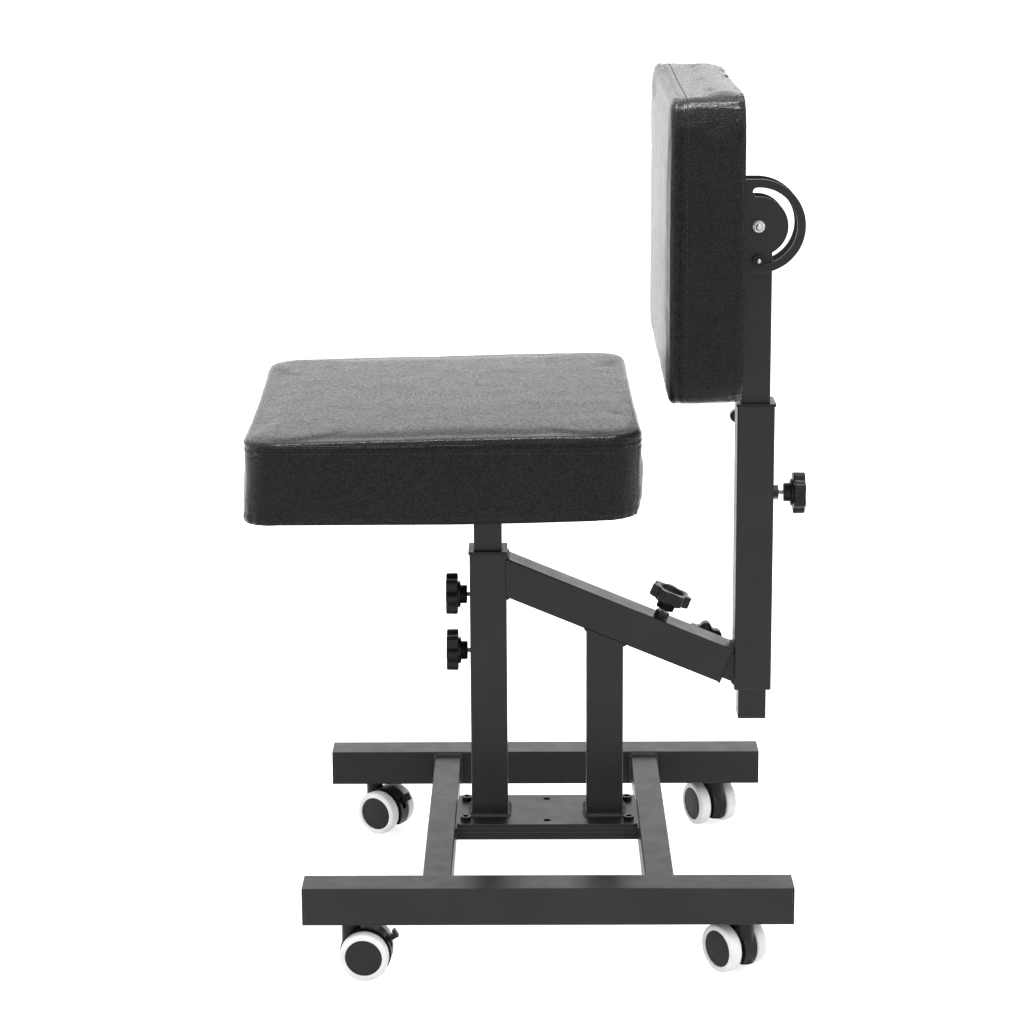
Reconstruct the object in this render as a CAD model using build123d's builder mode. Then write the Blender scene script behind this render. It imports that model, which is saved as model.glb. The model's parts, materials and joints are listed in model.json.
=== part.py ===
from build123d import *
from math import cos, radians, sin, tan
import os

# Kneeling massage chair: wheeled base frame, height-adjustable seat, and a chest pad that slides
# out on a sloping boom, rises on its own mast and tilts about a slotted bracket.
# Millimetres. X runs from the seat towards the pad, Y across the frame, Z up from the floor.
# The drawing is laid out about the middle of the side rails; SAVE_SHIFT then puts the origin
# on the floor at the middle of the bounding box.
SAVE_SHIFT = Location((15, -8, 0))

# Tubes and welds
TUBE = 50              # outer square tube
INNER = 38             # telescoping and cross tube
WALL = 2
TUBE_R = 2.5           # outer corner radius of the 50 mm tube
INNER_R = 2
CLEAR = 0.15           # gap round a sliding tube, per side
BEAD = 5               # leg of a weld bead
SMALL_BEAD = 4
BEAD_TAPER = 40
PLUG_FLANGE = 2.5      # plastic end plugs
PLUG_DEPTH = 12

# Base
RAIL_TOP = 124
RAIL_LENGTH = 632      # over the end plugs
RAIL_CUT = RAIL_LENGTH - 2 * PLUG_FLANGE
RAIL_Y = 270
RAIL_Z = RAIL_TOP - TUBE / 2
PLATE_X = 1            # middle of the mast plate
CROSS_OFFSET = 145     # cross rails either side of the plate
CROSS_LENGTH = 2 * RAIL_Y - TUBE
PLATE_L, PLATE_W, PLATE_T = 248, 118, 6
PLATE_R = 6
BRIDGE_L = 2 * CROSS_OFFSET - INNER
BRIDGE_W, BRIDGE_H, BRIDGE_T = 116, 18, 6.5
BRIDGE_FLANGE_T, BRIDGE_INSET = 4, 4     # side walls, and how far they sit in from the edge
BRIDGE_TOP = RAIL_TOP - PLATE_T
BOLT_DX, BOLT_DY = 112, 40
BOLT_R, BOLT_HOLE_R, BOLT_LENGTH = 4, 4.2, 22
BOLT_HEAD_R, BOLT_HEAD_H = 7.2, 5.5
SOCKET_R, SOCKET_DEPTH = 4.5, 3.5
BOLT_NUT_R, BOLT_NUT_H = 7.5, 6.5
FREE_HOLE_Y = 43       # two free holes in the mast plate
FREE_HOLE_R = 5.2

# Masts and boom
MAST_X = -78
MAST_TOP = 496
STRUT_X = 80.5
BOOM_ANGLE = 22.75     # downwards from the front mast
BOOM_ROOT = (MAST_X + TUBE / 2, 463.2)     # X and Z where the boom's axis meets the mast
BOOM_LENGTH = 322.6
BACK_X = 282
BACK_BOTTOM, BACK_TOP = 304, 698
SLEEVE_DEPTH = 18
SLEEVE_FLANGE, SLEEVE_LIP = 4, 1.5         # thickness, and how far it stands out past the tube
BOOM_FLANGE, BOOM_LIP = 2.5, 1

# Sliding members
SEAT_POST_BOTTOM = 224
SEAT_UNDERSIDE = 594
SEAT_PLATE = 180
SEAT_PLATE_T = 5
SEAT_PLATE_Z = SEAT_UNDERSIDE - SEAT_PLATE_T
SLIDE_INSIDE = 285     # length of the boom slide inside the boom
BACK_POST_BOTTOM = 264
PIVOT_Z = 939.8
POST_ABOVE_PIVOT = 20

# Cushions and boards
BOARD_T = 12
BOARD_INSET = 7
SEAT_CENTRE_X = -130.5
SEAT_SIZE = 500
SEAT_THICK = 100
PAD_WIDTH, PAD_HEIGHT, PAD_THICK = 494, 381, 79
PAD_MIDDLE_Z = 936.5
PAD_BACK = 37          # from the pivot to the back of the pad board
CUSHION_R = 40
SOFT_EDGE = 12
SCREW_R, SCREW_HEAD_R, SCREW_HEAD_H = 3, 6, 4
SCREW_BITE = 9         # how far a screw runs into a board
SCREW_SPREAD = 62      # screws from the middle of their plate, both ways

# Tilt bracket
BRACKET_R = 62
BRACKET_T = 5
BRACKET_GAP = 19.25    # from the middle to a plate's inner face
BRACKET_FACE = BRACKET_GAP + BRACKET_T
SLOT_RADIUS, SLOT_WIDTH = 45, 12
SLOT_PAST_LEVEL = 93   # degrees from level up to the slot's free end
PAD_PLATE = 150
PAD_PLATE_T = 5
PIVOT_R, PIVOT_NUT_R, PIVOT_NUT_H, PIVOT_HEAD_H = 4, 7.5, 6.5, 5.3
PIVOT_END = 11.5       # bolt beyond the near plate
WASHER_R, WASHER_T, WASHER_GAP = 8, 1.5, 0.1
LOCK_SPIGOT_R, LOCK_COLLAR_R = 5.5, 8
LOCK_COLLAR_NEAR, LOCK_COLLAR_FAR = 6, 2
LOCK_STUD_END = 1
LOCK_KNOB_R, LOCK_KNOB_GAP = 15, 0.5

# Star knobs
KNOB_R = 29
KNOB_HEAD = 16
HUB_LENGTH = 12.5
HUB_SIZE = 0.43        # sizes as a share of the knob's radius
STAR_WAIST = 0.82
LOBE_SIZE = 0.27
CUP_SIZE = 0.58
CUP_DEPTH, CUP_TAPER = 9, 12
LOBES = 7
STUD_R = 3
STUD_FIT = 0.05        # running room round a stud, bolt or axle
FIXED_FIT = 0.02       # room round a shaft that is fixed in its own piece
NUT_R, NUT_H = 9.8, 8
KNOB_GAP = 4           # bare stud between the tube or nut and the hub
BACK_KNOB_GAP = 7
STUD_SHORT = 0.5       # how far a stud stops short of the inner tube
SEAT_KNOBS_Z = {"seat_knob_upper": 434.4, "seat_knob_lower": 354.9}
BOOM_TOP_KNOB_AT = 218
BOOM_SIDE_KNOB_AT = 294
BACK_REAR_KNOB_Z = 575.5
BACK_SIDE_KNOB_Z = 669

# Casters
STEM_X = 255
STEM_R, STEM_BOTTOM, STEM_TOP = 5, 32, 90
STEM_GAP = 1           # under the stem, inside the hood
STEM_COLLAR_R, STEM_COLLAR_H = 9, 2
TRAIL = 20
WHEEL_R, WHEEL_W, WHEEL_Y = 32, 18, 21.5
TYRE_EDGE = 2.5
DISC_R, DISC_INSET = 24, 1.5
WHEEL_BORE = 14
AXLE_R, AXLE_HALF = 3, 25
HOUSING_R, HOUSING_RIM_R, HOUSING_RIM_H = 12, 14, 3
HOOD_W, HOOD_R = 20, 33.5
HOOD_BOTTOM, HOOD_TOP = 14, 71.5
BRAKE_ANGLE = 30       # of the brake lever above the axle
BRAKE_PIVOT = 23       # from the axle to the lever's pin
BRAKE_PIN_R = 1.5
BRAKE_ARM, BRAKE_T, BRAKE_W = 24, 7, 8
BRAKE_TOE = 4          # upturned end of the lever
BRAKE_CLEAR = 0.5
BRAKE_SLOT_OUT, BRAKE_SLOT_DROP, BRAKE_SLOT_RISE = 16, 12, 5
# Name, side along X, side along Y, heading of the trail in degrees from +X, and brake or not
CASTERS = [
    ("near_left", -1, -1, -5, True),
    ("far_left", -1, 1, -30, True),
    ("near_right", 1, -1, 127, False),
    ("far_right", 1, 1, 115, False),
]

BOOM_DIR = Vector(cos(radians(BOOM_ANGLE)), 0, -sin(radians(BOOM_ANGLE)))
BOOM_UP = Vector(sin(radians(BOOM_ANGLE)), 0, cos(radians(BOOM_ANGLE)))

os.makedirs("parts", exist_ok=True)


def save(name, *pieces):
    """Write one node: a finished piece, or several solids that stay separate."""
    node = pieces[0].part if len(pieces) == 1 else Compound(children=[p.part for p in pieces])
    node = node.moved(SAVE_SHIFT)
    node.label = name
    export_step(node, f"parts/{name}.step")


def boom_point(along, up=0, across=0):
    """A point given by its distance along the boom's axis, above it and across it."""
    root = Vector(BOOM_ROOT[0], 0, BOOM_ROOT[1])
    return root + BOOM_DIR * along + BOOM_UP * up + Vector(0, across, 0)


def boom_plane(along):
    """A plane square to the boom, facing away from the front mast."""
    return Plane(origin=boom_point(along), x_dir=(0, 1, 0), z_dir=BOOM_DIR)


def upright(x, y, z):
    """A level plane at a point, facing up."""
    return Plane(origin=(x, y, z), x_dir=(1, 0, 0), z_dir=(0, 0, 1))


def facing(origin, direction):
    """A plane at a point, facing a direction."""
    return Plane(origin=origin, z_dir=direction)


def block(plane, width, depth, height, radius, mode=Mode.ADD):
    """Block with rounded corners in plan, standing on a plane."""
    with BuildSketch(plane) as profile:
        RectangleRounded(width, depth, radius)
    extrude(profile.sketch, amount=height, mode=mode)


def tube(plane, length, size, radius):
    """Square tube that starts at a plane and runs along its normal."""
    bore = size - 2 * WALL
    block(plane, size, size, length, radius)
    block(plane, bore, bore, length, radius - WALL / 2, mode=Mode.SUBTRACT)


def cylinder(plane, radius, height, mode=Mode.ADD):
    """Round bar or hole that starts at a plane and runs along its normal."""
    with BuildSketch(plane) as profile:
        Circle(radius)
    extrude(profile.sketch, amount=height, mode=mode)


def hexagon(plane, radius, height, mode=Mode.ADD):
    """Hexagonal block on a plane; the radius is to its corners."""
    with BuildSketch(plane) as profile:
        RegularPolygon(radius, 6)
    extrude(profile.sketch, amount=height, mode=mode)


def ring_bead(plane, size, radius):
    """Fillet weld round the foot of a square tube standing on a plane."""
    with BuildSketch(plane) as foot:
        RectangleRounded(size + 2 * BEAD, size + 2 * BEAD, radius + BEAD)
    extrude(foot.sketch, amount=BEAD, taper=BEAD_TAPER)
    block(plane, size, size, BEAD, radius, mode=Mode.SUBTRACT)


def bead(section_plane, points, half_length):
    """Straight weld bead with a given section, the same length either side of the plane."""
    with BuildSketch(section_plane) as section:
        with BuildLine():
            Polyline(*points, close=True)
        make_face()
    extrude(section.sketch, amount=half_length, both=True)


def corner_points(corner, leg_a, leg_b):
    """Triangle in X and Z from a corner and its two legs."""
    x, z = corner
    return [(x, z), (x + leg_a[0], z + leg_a[1]), (x + leg_b[0], z + leg_b[1])]


def sleeve(plane, flange, lip):
    """Plastic guide in the mouth of a 50 mm tube; the plane is at the mouth, facing out."""
    inner = INNER + 2 * CLEAR
    bore = TUBE - 2 * WALL
    block(plane, TUBE + 2 * lip, TUBE + 2 * lip, flange, TUBE_R)
    block(plane, bore, bore, -SLEEVE_DEPTH, TUBE_R - WALL / 2)
    block(plane.offset(-SLEEVE_DEPTH), inner, inner, SLEEVE_DEPTH + flange, INNER_R,
          mode=Mode.SUBTRACT)


def end_plug(plane, size, radius):
    """Plastic plug in a tube's cut end; the plane is at the cut, facing out."""
    bore = size - 2 * WALL
    block(plane, size, size, PLUG_FLANGE, radius)
    block(plane, bore, bore, -PLUG_DEPTH, radius - WALL / 2)
    block(plane.offset(-PLUG_DEPTH), bore - 2 * WALL, bore - 2 * WALL, PLUG_DEPTH, 1,
          mode=Mode.SUBTRACT)


def weld_nut(plane):
    """Hexagonal nut welded on a tube's face, with running room for a stud."""
    hexagon(plane, NUT_R, NUT_H)
    cylinder(plane, STUD_R + STUD_FIT, NUT_H, mode=Mode.SUBTRACT)


def star_head(plane, gap, radius, bore):
    """Moulded head and hub of a star knob, with a blind bore for the stud it sits on."""
    head_at = gap + HUB_LENGTH
    with BuildPart() as head:
        with BuildSketch(plane.offset(head_at)) as star:
            Circle(radius * STAR_WAIST)
            with PolarLocations(radius * (1 - LOBE_SIZE), LOBES):
                Circle(radius * LOBE_SIZE)
        extrude(star.sketch, amount=KNOB_HEAD)
        cylinder(plane.offset(gap), radius * HUB_SIZE, HUB_LENGTH)
        with BuildSketch(plane.offset(head_at + KNOB_HEAD)) as cup:
            Circle(radius * CUP_SIZE)
        extrude(cup.sketch, amount=-CUP_DEPTH, taper=CUP_TAPER, mode=Mode.SUBTRACT)
        cylinder(plane.offset(gap), bore, HUB_LENGTH, mode=Mode.SUBTRACT)
    return head


def clamp_knob(name, plane, reach, gap):
    """Star knob on its own steel stud; the plane is on the face it screws into, facing out."""
    head = star_head(plane, gap, KNOB_R, STUD_R + FIXED_FIT)
    with BuildPart() as stud:
        cylinder(plane.offset(-reach), STUD_R, reach + gap + HUB_LENGTH - FIXED_FIT)
    save(name, head, stud)


# Side rails: closed by plastic caps, with a hole under each end for a caster stem
def side_rail(name, y):
    with BuildPart() as rail:
        tube(facing((-RAIL_CUT / 2, y, RAIL_Z), (1, 0, 0)), RAIL_CUT, TUBE, TUBE_R)
        for x in (-STEM_X, STEM_X):
            cylinder(upright(x, y, RAIL_Z - TUBE / 2), STEM_R, 2 * WALL, mode=Mode.SUBTRACT)
    save(name, rail)


side_rail("side_rail_near", -RAIL_Y)
side_rail("side_rail_far", RAIL_Y)

with BuildPart() as rail_end_caps:
    for cap_y in (-RAIL_Y, RAIL_Y):
        for end in (-1, 1):
            end_plug(facing((end * RAIL_CUT / 2, cap_y, RAIL_Z), (end, 0, 0)), TUBE, TUBE_R)
save("rail_end_caps", rail_end_caps)


# Cross rails between the side rails
def cross_rail(name, x):
    with BuildPart() as rail:
        tube(facing((x, -CROSS_LENGTH / 2, RAIL_Z), (0, 1, 0)), CROSS_LENGTH, INNER, INNER_R)
    save(name, rail)


cross_rail("cross_rail_left", PLATE_X - CROSS_OFFSET)
cross_rail("cross_rail_right", PLATE_X + CROSS_OFFSET)

# Bridge between the cross rails: a thick top plate over two side walls
BOLT_SPOTS = [(PLATE_X + sx * BOLT_DX, sy * BOLT_DY) for sx in (-1, 1) for sy in (-1, 1)]
FREE_SPOTS = [(PLATE_X, -FREE_HOLE_Y), (PLATE_X, FREE_HOLE_Y)]


def plate_holes(level, depth):
    """The four bolt holes and the two free holes, drilled down from a level."""
    for x, y in BOLT_SPOTS:
        cylinder(upright(x, y, level), BOLT_HOLE_R, -depth, mode=Mode.SUBTRACT)
    for x, y in FREE_SPOTS:
        cylinder(upright(x, y, level), FREE_HOLE_R, -depth, mode=Mode.SUBTRACT)


FLANGE_OUT = BRIDGE_W / 2 - BRIDGE_INSET
FLANGE_H = BRIDGE_H - BRIDGE_T
FLANGE_MIDDLE_Z = BRIDGE_TOP - BRIDGE_T - FLANGE_H / 2

with BuildPart() as base_bridge:
    with Locations((PLATE_X, 0, BRIDGE_TOP - BRIDGE_T / 2)):
        Box(BRIDGE_L, BRIDGE_W, BRIDGE_T)
    for side in (-1, 1):
        with Locations((PLATE_X, side * (FLANGE_OUT - BRIDGE_FLANGE_T / 2), FLANGE_MIDDLE_Z)):
            Box(BRIDGE_L, BRIDGE_FLANGE_T, FLANGE_H)
    plate_holes(BRIDGE_TOP, BRIDGE_T)
save("base_bridge", base_bridge)

with BuildPart() as mast_plate:
    block(upright(PLATE_X, 0, BRIDGE_TOP), PLATE_L, PLATE_W, PLATE_T, PLATE_R)
    plate_holes(RAIL_TOP, PLATE_T)
save("mast_plate", mast_plate)

with BuildPart() as mast_bolts:
    for x, y in BOLT_SPOTS:
        cylinder(upright(x, y, RAIL_TOP), BOLT_HEAD_R, BOLT_HEAD_H)
        cylinder(upright(x, y, RAIL_TOP), BOLT_R, -BOLT_LENGTH)
        hexagon(upright(x, y, RAIL_TOP + BOLT_HEAD_H), SOCKET_R, -SOCKET_DEPTH, mode=Mode.SUBTRACT)
save("mast_bolts", mast_bolts)

with BuildPart() as mast_nuts:
    for x, y in BOLT_SPOTS:
        hexagon(upright(x, y, BRIDGE_TOP - BRIDGE_T), BOLT_NUT_R, -BOLT_NUT_H)
        cylinder(upright(x, y, BRIDGE_TOP - BRIDGE_T), BOLT_R + STUD_FIT, -BOLT_NUT_H,
                 mode=Mode.SUBTRACT)
save("mast_nuts", mast_nuts)

# Front mast, strut and boom
MAST_FACE = MAST_X - TUBE / 2

with BuildPart() as front_mast:
    tube(upright(MAST_X, 0, RAIL_TOP), MAST_TOP - RAIL_TOP, TUBE, TUBE_R)
    for knob_z in SEAT_KNOBS_Z.values():
        cylinder(facing((MAST_FACE, 0, knob_z), (1, 0, 0)), STUD_R + STUD_FIT, 2 * WALL,
                 mode=Mode.SUBTRACT)
save("front_mast", front_mast)

BOOM_UNDERSIDE = Plane(origin=boom_point(0, -TUBE / 2), x_dir=(0, 1, 0), z_dir=BOOM_UP)

with BuildPart() as strut:
    tube(upright(STRUT_X, 0, RAIL_TOP), MAST_TOP - RAIL_TOP, TUBE, TUBE_R)
    split(bisect_by=BOOM_UNDERSIDE, keep=Keep.BOTTOM)
save("strut", strut)

with BuildPart() as boom:
    tube(boom_plane(-TUBE), BOOM_LENGTH + TUBE, TUBE, TUBE_R)
    split(bisect_by=facing((BOOM_ROOT[0], 0, 0), (1, 0, 0)), keep=Keep.TOP)
    cylinder(facing(boom_point(BOOM_TOP_KNOB_AT, TUBE / 2), BOOM_UP), STUD_R + STUD_FIT,
             -2 * WALL, mode=Mode.SUBTRACT)
    cylinder(facing(boom_point(BOOM_SIDE_KNOB_AT, 0, TUBE / 2), (0, 1, 0)), STUD_R + STUD_FIT,
             -2 * WALL, mode=Mode.SUBTRACT)
save("boom", boom)


def level_at(x, up):
    """Height at a given X of a line that runs parallel to the boom's axis."""
    slope = radians(BOOM_ANGLE)
    return BOOM_ROOT[1] - (x - BOOM_ROOT[0]) * tan(slope) + up / cos(slope)


LEG = (BOOM_DIR.X * BEAD, BOOM_DIR.Z * BEAD)       # one bead leg along the boom
SECTION = Plane(origin=(0, 0, 0), x_dir=(1, 0, 0), z_dir=(0, -1, 0))
FLAT_HALF = TUBE / 2 - TUBE_R

with BuildPart() as frame_welds:
    for post_x in (MAST_X, STRUT_X):
        ring_bead(upright(post_x, 0, RAIL_TOP), TUBE, TUBE_R)
    for rail_x in (PLATE_X - CROSS_OFFSET, PLATE_X + CROSS_OFFSET):
        for side in (-1, 1):
            ring_bead(facing((rail_x, side * CROSS_LENGTH / 2, RAIL_Z), (0, -side, 0)),
                      INNER, INNER_R)
    for flange_side in (-1, 1):
        for end in (-1, 1):
            corner_x = PLATE_X + end * BRIDGE_L / 2
            corner_y = flange_side * FLANGE_OUT
            bead(upright(0, 0, FLANGE_MIDDLE_Z),
                 [(corner_x, corner_y),
                  (corner_x - end * SMALL_BEAD, corner_y),
                  (corner_x, corner_y + flange_side * SMALL_BEAD)],
                 FLANGE_H / 2 - 1)
    boom_root_x = BOOM_ROOT[0]
    bead(SECTION, corner_points((boom_root_x, level_at(boom_root_x, TUBE / 2)), (0, BEAD), LEG),
         FLAT_HALF)
    bead(SECTION, corner_points((boom_root_x, level_at(boom_root_x, -TUBE / 2)), (0, -BEAD), LEG),
         FLAT_HALF)
    strut_left = STRUT_X - TUBE / 2
    strut_right = STRUT_X + TUBE / 2
    bead(SECTION, corner_points((strut_left, level_at(strut_left, -TUBE / 2)), (0, -BEAD),
                                (-LEG[0], -LEG[1])), FLAT_HALF)
    bead(SECTION, corner_points((strut_right, level_at(strut_right, -TUBE / 2)), (0, -BEAD), LEG),
         FLAT_HALF)
save("frame_welds", frame_welds)

with BuildPart() as seat_sleeve:
    sleeve(upright(MAST_X, 0, MAST_TOP), SLEEVE_FLANGE, SLEEVE_LIP)
save("seat_sleeve", seat_sleeve)

with BuildPart() as boom_sleeve:
    sleeve(boom_plane(BOOM_LENGTH), BOOM_FLANGE, BOOM_LIP)
save("boom_sleeve", boom_sleeve)

BOOM_TOP_FACE = facing(boom_point(BOOM_TOP_KNOB_AT, TUBE / 2), BOOM_UP)
BOOM_SIDE_FACE = facing(boom_point(BOOM_SIDE_KNOB_AT, 0, TUBE / 2), (0, 1, 0))

with BuildPart() as boom_weld_nuts:
    weld_nut(BOOM_TOP_FACE)
    weld_nut(BOOM_SIDE_FACE)
save("boom_weld_nuts", boom_weld_nuts)

# Seat: post, plate, plywood board and cushion
with BuildPart() as seat_post:
    tube(upright(MAST_X, 0, SEAT_POST_BOTTOM), SEAT_PLATE_Z - SEAT_POST_BOTTOM, INNER, INNER_R)
save("seat_post", seat_post)

SEAT_SCREWS = [(MAST_X + sx * SCREW_SPREAD, sy * SCREW_SPREAD) for sx in (-1, 1) for sy in (-1, 1)]

with BuildPart() as seat_plate:
    block(upright(MAST_X, 0, SEAT_PLATE_Z), SEAT_PLATE, SEAT_PLATE, SEAT_PLATE_T, PLATE_R)
    for x, y in SEAT_SCREWS:
        cylinder(upright(x, y, SEAT_PLATE_Z), SCREW_R + STUD_FIT, SEAT_PLATE_T, mode=Mode.SUBTRACT)
save("seat_plate", seat_plate)

with BuildPart() as seat_welds:
    ring_bead(facing((MAST_X, 0, SEAT_PLATE_Z), (0, 0, -1)), INNER, INNER_R)
save("seat_welds", seat_welds)

with BuildPart() as seat_board:
    size = SEAT_SIZE - 2 * BOARD_INSET
    block(upright(SEAT_CENTRE_X, 0, SEAT_UNDERSIDE), size, size, BOARD_T, CUSHION_R - BOARD_INSET)
    for x, y in SEAT_SCREWS:
        cylinder(upright(x, y, SEAT_UNDERSIDE), SCREW_R + STUD_FIT, SCREW_BITE, mode=Mode.SUBTRACT)
save("seat_board", seat_board)

with BuildPart() as seat_cushion:
    block(upright(SEAT_CENTRE_X, 0, SEAT_UNDERSIDE + BOARD_T), SEAT_SIZE, SEAT_SIZE,
          SEAT_THICK, CUSHION_R)
    fillet(seat_cushion.faces().sort_by(Axis.Z)[-1].edges(), SOFT_EDGE)
save("seat_cushion", seat_cushion)

with BuildPart() as seat_screws:
    for x, y in SEAT_SCREWS:
        cylinder(upright(x, y, SEAT_PLATE_Z), SCREW_HEAD_R, -SCREW_HEAD_H)
        cylinder(upright(x, y, SEAT_PLATE_Z), SCREW_R, SEAT_PLATE_T + SCREW_BITE)
        hexagon(upright(x, y, SEAT_PLATE_Z - SCREW_HEAD_H), SCREW_R, SCREW_HEAD_H / 2,
                mode=Mode.SUBTRACT)
save("seat_screws", seat_screws)

# Boom slide with the back mast welded across its end
BACK_FACE = BACK_X - TUBE / 2

with BuildPart() as boom_slide:
    tube(boom_plane(BOOM_LENGTH - SLIDE_INSIDE), SLIDE_INSIDE + TUBE, INNER, INNER_R)
    split(bisect_by=facing((BACK_FACE, 0, 0), (1, 0, 0)), keep=Keep.BOTTOM)
save("boom_slide", boom_slide)

BACK_REAR_FACE = facing((BACK_X + TUBE / 2, 0, BACK_REAR_KNOB_Z), (1, 0, 0))
BACK_SIDE_FACE = facing((BACK_X, TUBE / 2, BACK_SIDE_KNOB_Z), (0, 1, 0))

with BuildPart() as back_mast:
    tube(upright(BACK_X, 0, BACK_BOTTOM), BACK_TOP - BACK_BOTTOM, TUBE, TUBE_R)
    for face in (BACK_REAR_FACE, BACK_SIDE_FACE):
        cylinder(face, STUD_R + STUD_FIT, -2 * WALL, mode=Mode.SUBTRACT)
save("back_mast", back_mast)

with BuildPart() as back_sleeve:
    sleeve(upright(BACK_X, 0, BACK_TOP), SLEEVE_FLANGE, SLEEVE_LIP)
save("back_sleeve", back_sleeve)

with BuildPart() as back_weld_nuts:
    weld_nut(BACK_REAR_FACE)
    weld_nut(BACK_SIDE_FACE)
save("back_weld_nuts", back_weld_nuts)

SHORT_LEG = 2.2        # bead above the slide, where the boom's sleeve comes close

with BuildPart() as back_welds:
    slide_half = INNER / 2 - INNER_R
    bead(SECTION, corner_points((BACK_FACE, level_at(BACK_FACE, -INNER / 2)), (0, -BEAD),
                                (-LEG[0], -LEG[1])), slide_half)
    bead(SECTION, corner_points((BACK_FACE, level_at(BACK_FACE, INNER / 2)), (0, SHORT_LEG),
                                (-BOOM_DIR.X * SHORT_LEG, -BOOM_DIR.Z * SHORT_LEG)), slide_half)
save("back_welds", back_welds)

# Back post with the tilt pivot near its top
LOCK_Z = PIVOT_Z - SLOT_RADIUS
POST_TOP = PIVOT_Z + POST_ABOVE_PIVOT - PLUG_FLANGE

with BuildPart() as back_post:
    tube(upright(BACK_X, 0, BACK_POST_BOTTOM), POST_TOP - BACK_POST_BOTTOM, INNER, INNER_R)
    cylinder(facing((BACK_X, -INNER, PIVOT_Z), (0, 1, 0)), PIVOT_R + STUD_FIT, 2 * INNER,
             mode=Mode.SUBTRACT)
    cylinder(facing((BACK_X, -INNER, LOCK_Z), (0, 1, 0)), STUD_R + STUD_FIT, 2 * INNER,
             mode=Mode.SUBTRACT)
save("back_post", back_post)

with BuildPart() as post_plugs:
    end_plug(upright(BACK_X, 0, POST_TOP), INNER, INNER_R)
    end_plug(facing((BACK_X, 0, BACK_POST_BOTTOM), (0, 0, -1)), INNER, INNER_R)
save("post_plugs", post_plugs)

with BuildPart() as pivot_shank:
    cylinder(facing((BACK_X, -BRACKET_FACE - PIVOT_END, PIVOT_Z), (0, 1, 0)), PIVOT_R,
             2 * BRACKET_FACE + PIVOT_END + WASHER_GAP + WASHER_T)
    hexagon(facing((BACK_X, BRACKET_FACE + WASHER_GAP + WASHER_T, PIVOT_Z), (0, 1, 0)),
            PIVOT_NUT_R, PIVOT_HEAD_H)

with BuildPart() as pivot_fittings:
    for side in (-1, 1):
        washer_at = facing((BACK_X, side * (BRACKET_FACE + WASHER_GAP), PIVOT_Z), (0, side, 0))
        cylinder(washer_at, WASHER_R, WASHER_T - FIXED_FIT)
    nut_at = facing((BACK_X, -BRACKET_FACE - WASHER_GAP - WASHER_T, PIVOT_Z), (0, -1, 0))
    hexagon(nut_at, PIVOT_NUT_R, PIVOT_NUT_H)
    cylinder(facing((BACK_X, -2 * TUBE, PIVOT_Z), (0, 1, 0)), PIVOT_R + FIXED_FIT, 4 * TUBE,
             mode=Mode.SUBTRACT)
save("pivot_bolt", pivot_shank, pivot_fittings)

# Shouldered bushes that carry the lock stud through the bracket's slots
LOCK_FACE = facing((BACK_X, BRACKET_FACE + WASHER_GAP + LOCK_COLLAR_FAR, LOCK_Z), (0, 1, 0))
LOCK_REACH = 2 * (BRACKET_FACE + WASHER_GAP) + LOCK_COLLAR_NEAR + LOCK_COLLAR_FAR + LOCK_STUD_END
LOCK_SINK = LOCK_KNOB_GAP + HUB_LENGTH - 1     # how far the stud runs beyond the far bush

with BuildPart() as tilt_lock_bushes:
    for side, collar in ((-1, LOCK_COLLAR_NEAR), (1, LOCK_COLLAR_FAR)):
        inner_face = facing((BACK_X, side * INNER / 2, LOCK_Z), (0, side, 0))
        cylinder(inner_face, LOCK_SPIGOT_R, BRACKET_FACE + WASHER_GAP - INNER / 2)
        cylinder(inner_face.offset(BRACKET_FACE + WASHER_GAP - INNER / 2), LOCK_COLLAR_R, collar)
    cylinder(facing((BACK_X, -2 * TUBE, LOCK_Z), (0, 1, 0)), STUD_R + FIXED_FIT, 4 * TUBE,
             mode=Mode.SUBTRACT)
save("tilt_lock_bushes", tilt_lock_bushes)

with BuildPart() as tilt_lock_stud:
    cylinder(LOCK_FACE.offset(-LOCK_REACH), STUD_R, LOCK_REACH + LOCK_SINK)
save("tilt_lock_stud", tilt_lock_stud)

# Chest pad: two slotted bracket plates, mounting plate, board and cushion
PAD_BACK_X = BACK_X - PAD_BACK
PLATE_BACK_X = PAD_BACK_X + PAD_PLATE_T
SLOT_ARC = CenterArc((0, 0), SLOT_RADIUS, -90, 90 + SLOT_PAST_LEVEL)

with BuildPart() as bracket_plates:
    for side in (-1, 1):
        outer_y = side * (BRACKET_GAP + BRACKET_T / 2)
        bracket = Plane(origin=(BACK_X, outer_y, PIVOT_Z), x_dir=(1, 0, 0), z_dir=(0, -1, 0))
        with BuildSketch(bracket) as outline:
            with BuildLine():
                flat = PLATE_BACK_X - BACK_X
                Polyline((0, BRACKET_R), (flat, BRACKET_R), (flat, -BRACKET_R), (0, -BRACKET_R))
                ThreePointArc((0, -BRACKET_R), (BRACKET_R, 0), (0, BRACKET_R))
            make_face()
            Circle(PIVOT_R + STUD_FIT, mode=Mode.SUBTRACT)
            SlotArc(SLOT_ARC, SLOT_WIDTH, mode=Mode.SUBTRACT)
        extrude(outline.sketch, amount=BRACKET_T / 2, both=True)
save("bracket_plates", bracket_plates)

with BuildPart() as bracket_welds:
    for side in (-1, 1):
        y = side * BRACKET_FACE
        bead(upright(0, 0, PIVOT_Z),
             [(PLATE_BACK_X, y), (PLATE_BACK_X + SMALL_BEAD, y),
              (PLATE_BACK_X, y + side * SMALL_BEAD)], BRACKET_R - BEAD)
save("bracket_welds", bracket_welds)

PAD_SCREWS = [(sy * SCREW_SPREAD, PIVOT_Z + sz * SCREW_SPREAD) for sy in (-1, 1) for sz in (-1, 1)]


def pad_plane(x, z):
    """Upright plane facing the seat, with its X along the pad's width."""
    return Plane(origin=(x, 0, z), x_dir=(0, -1, 0), z_dir=(-1, 0, 0))


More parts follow.
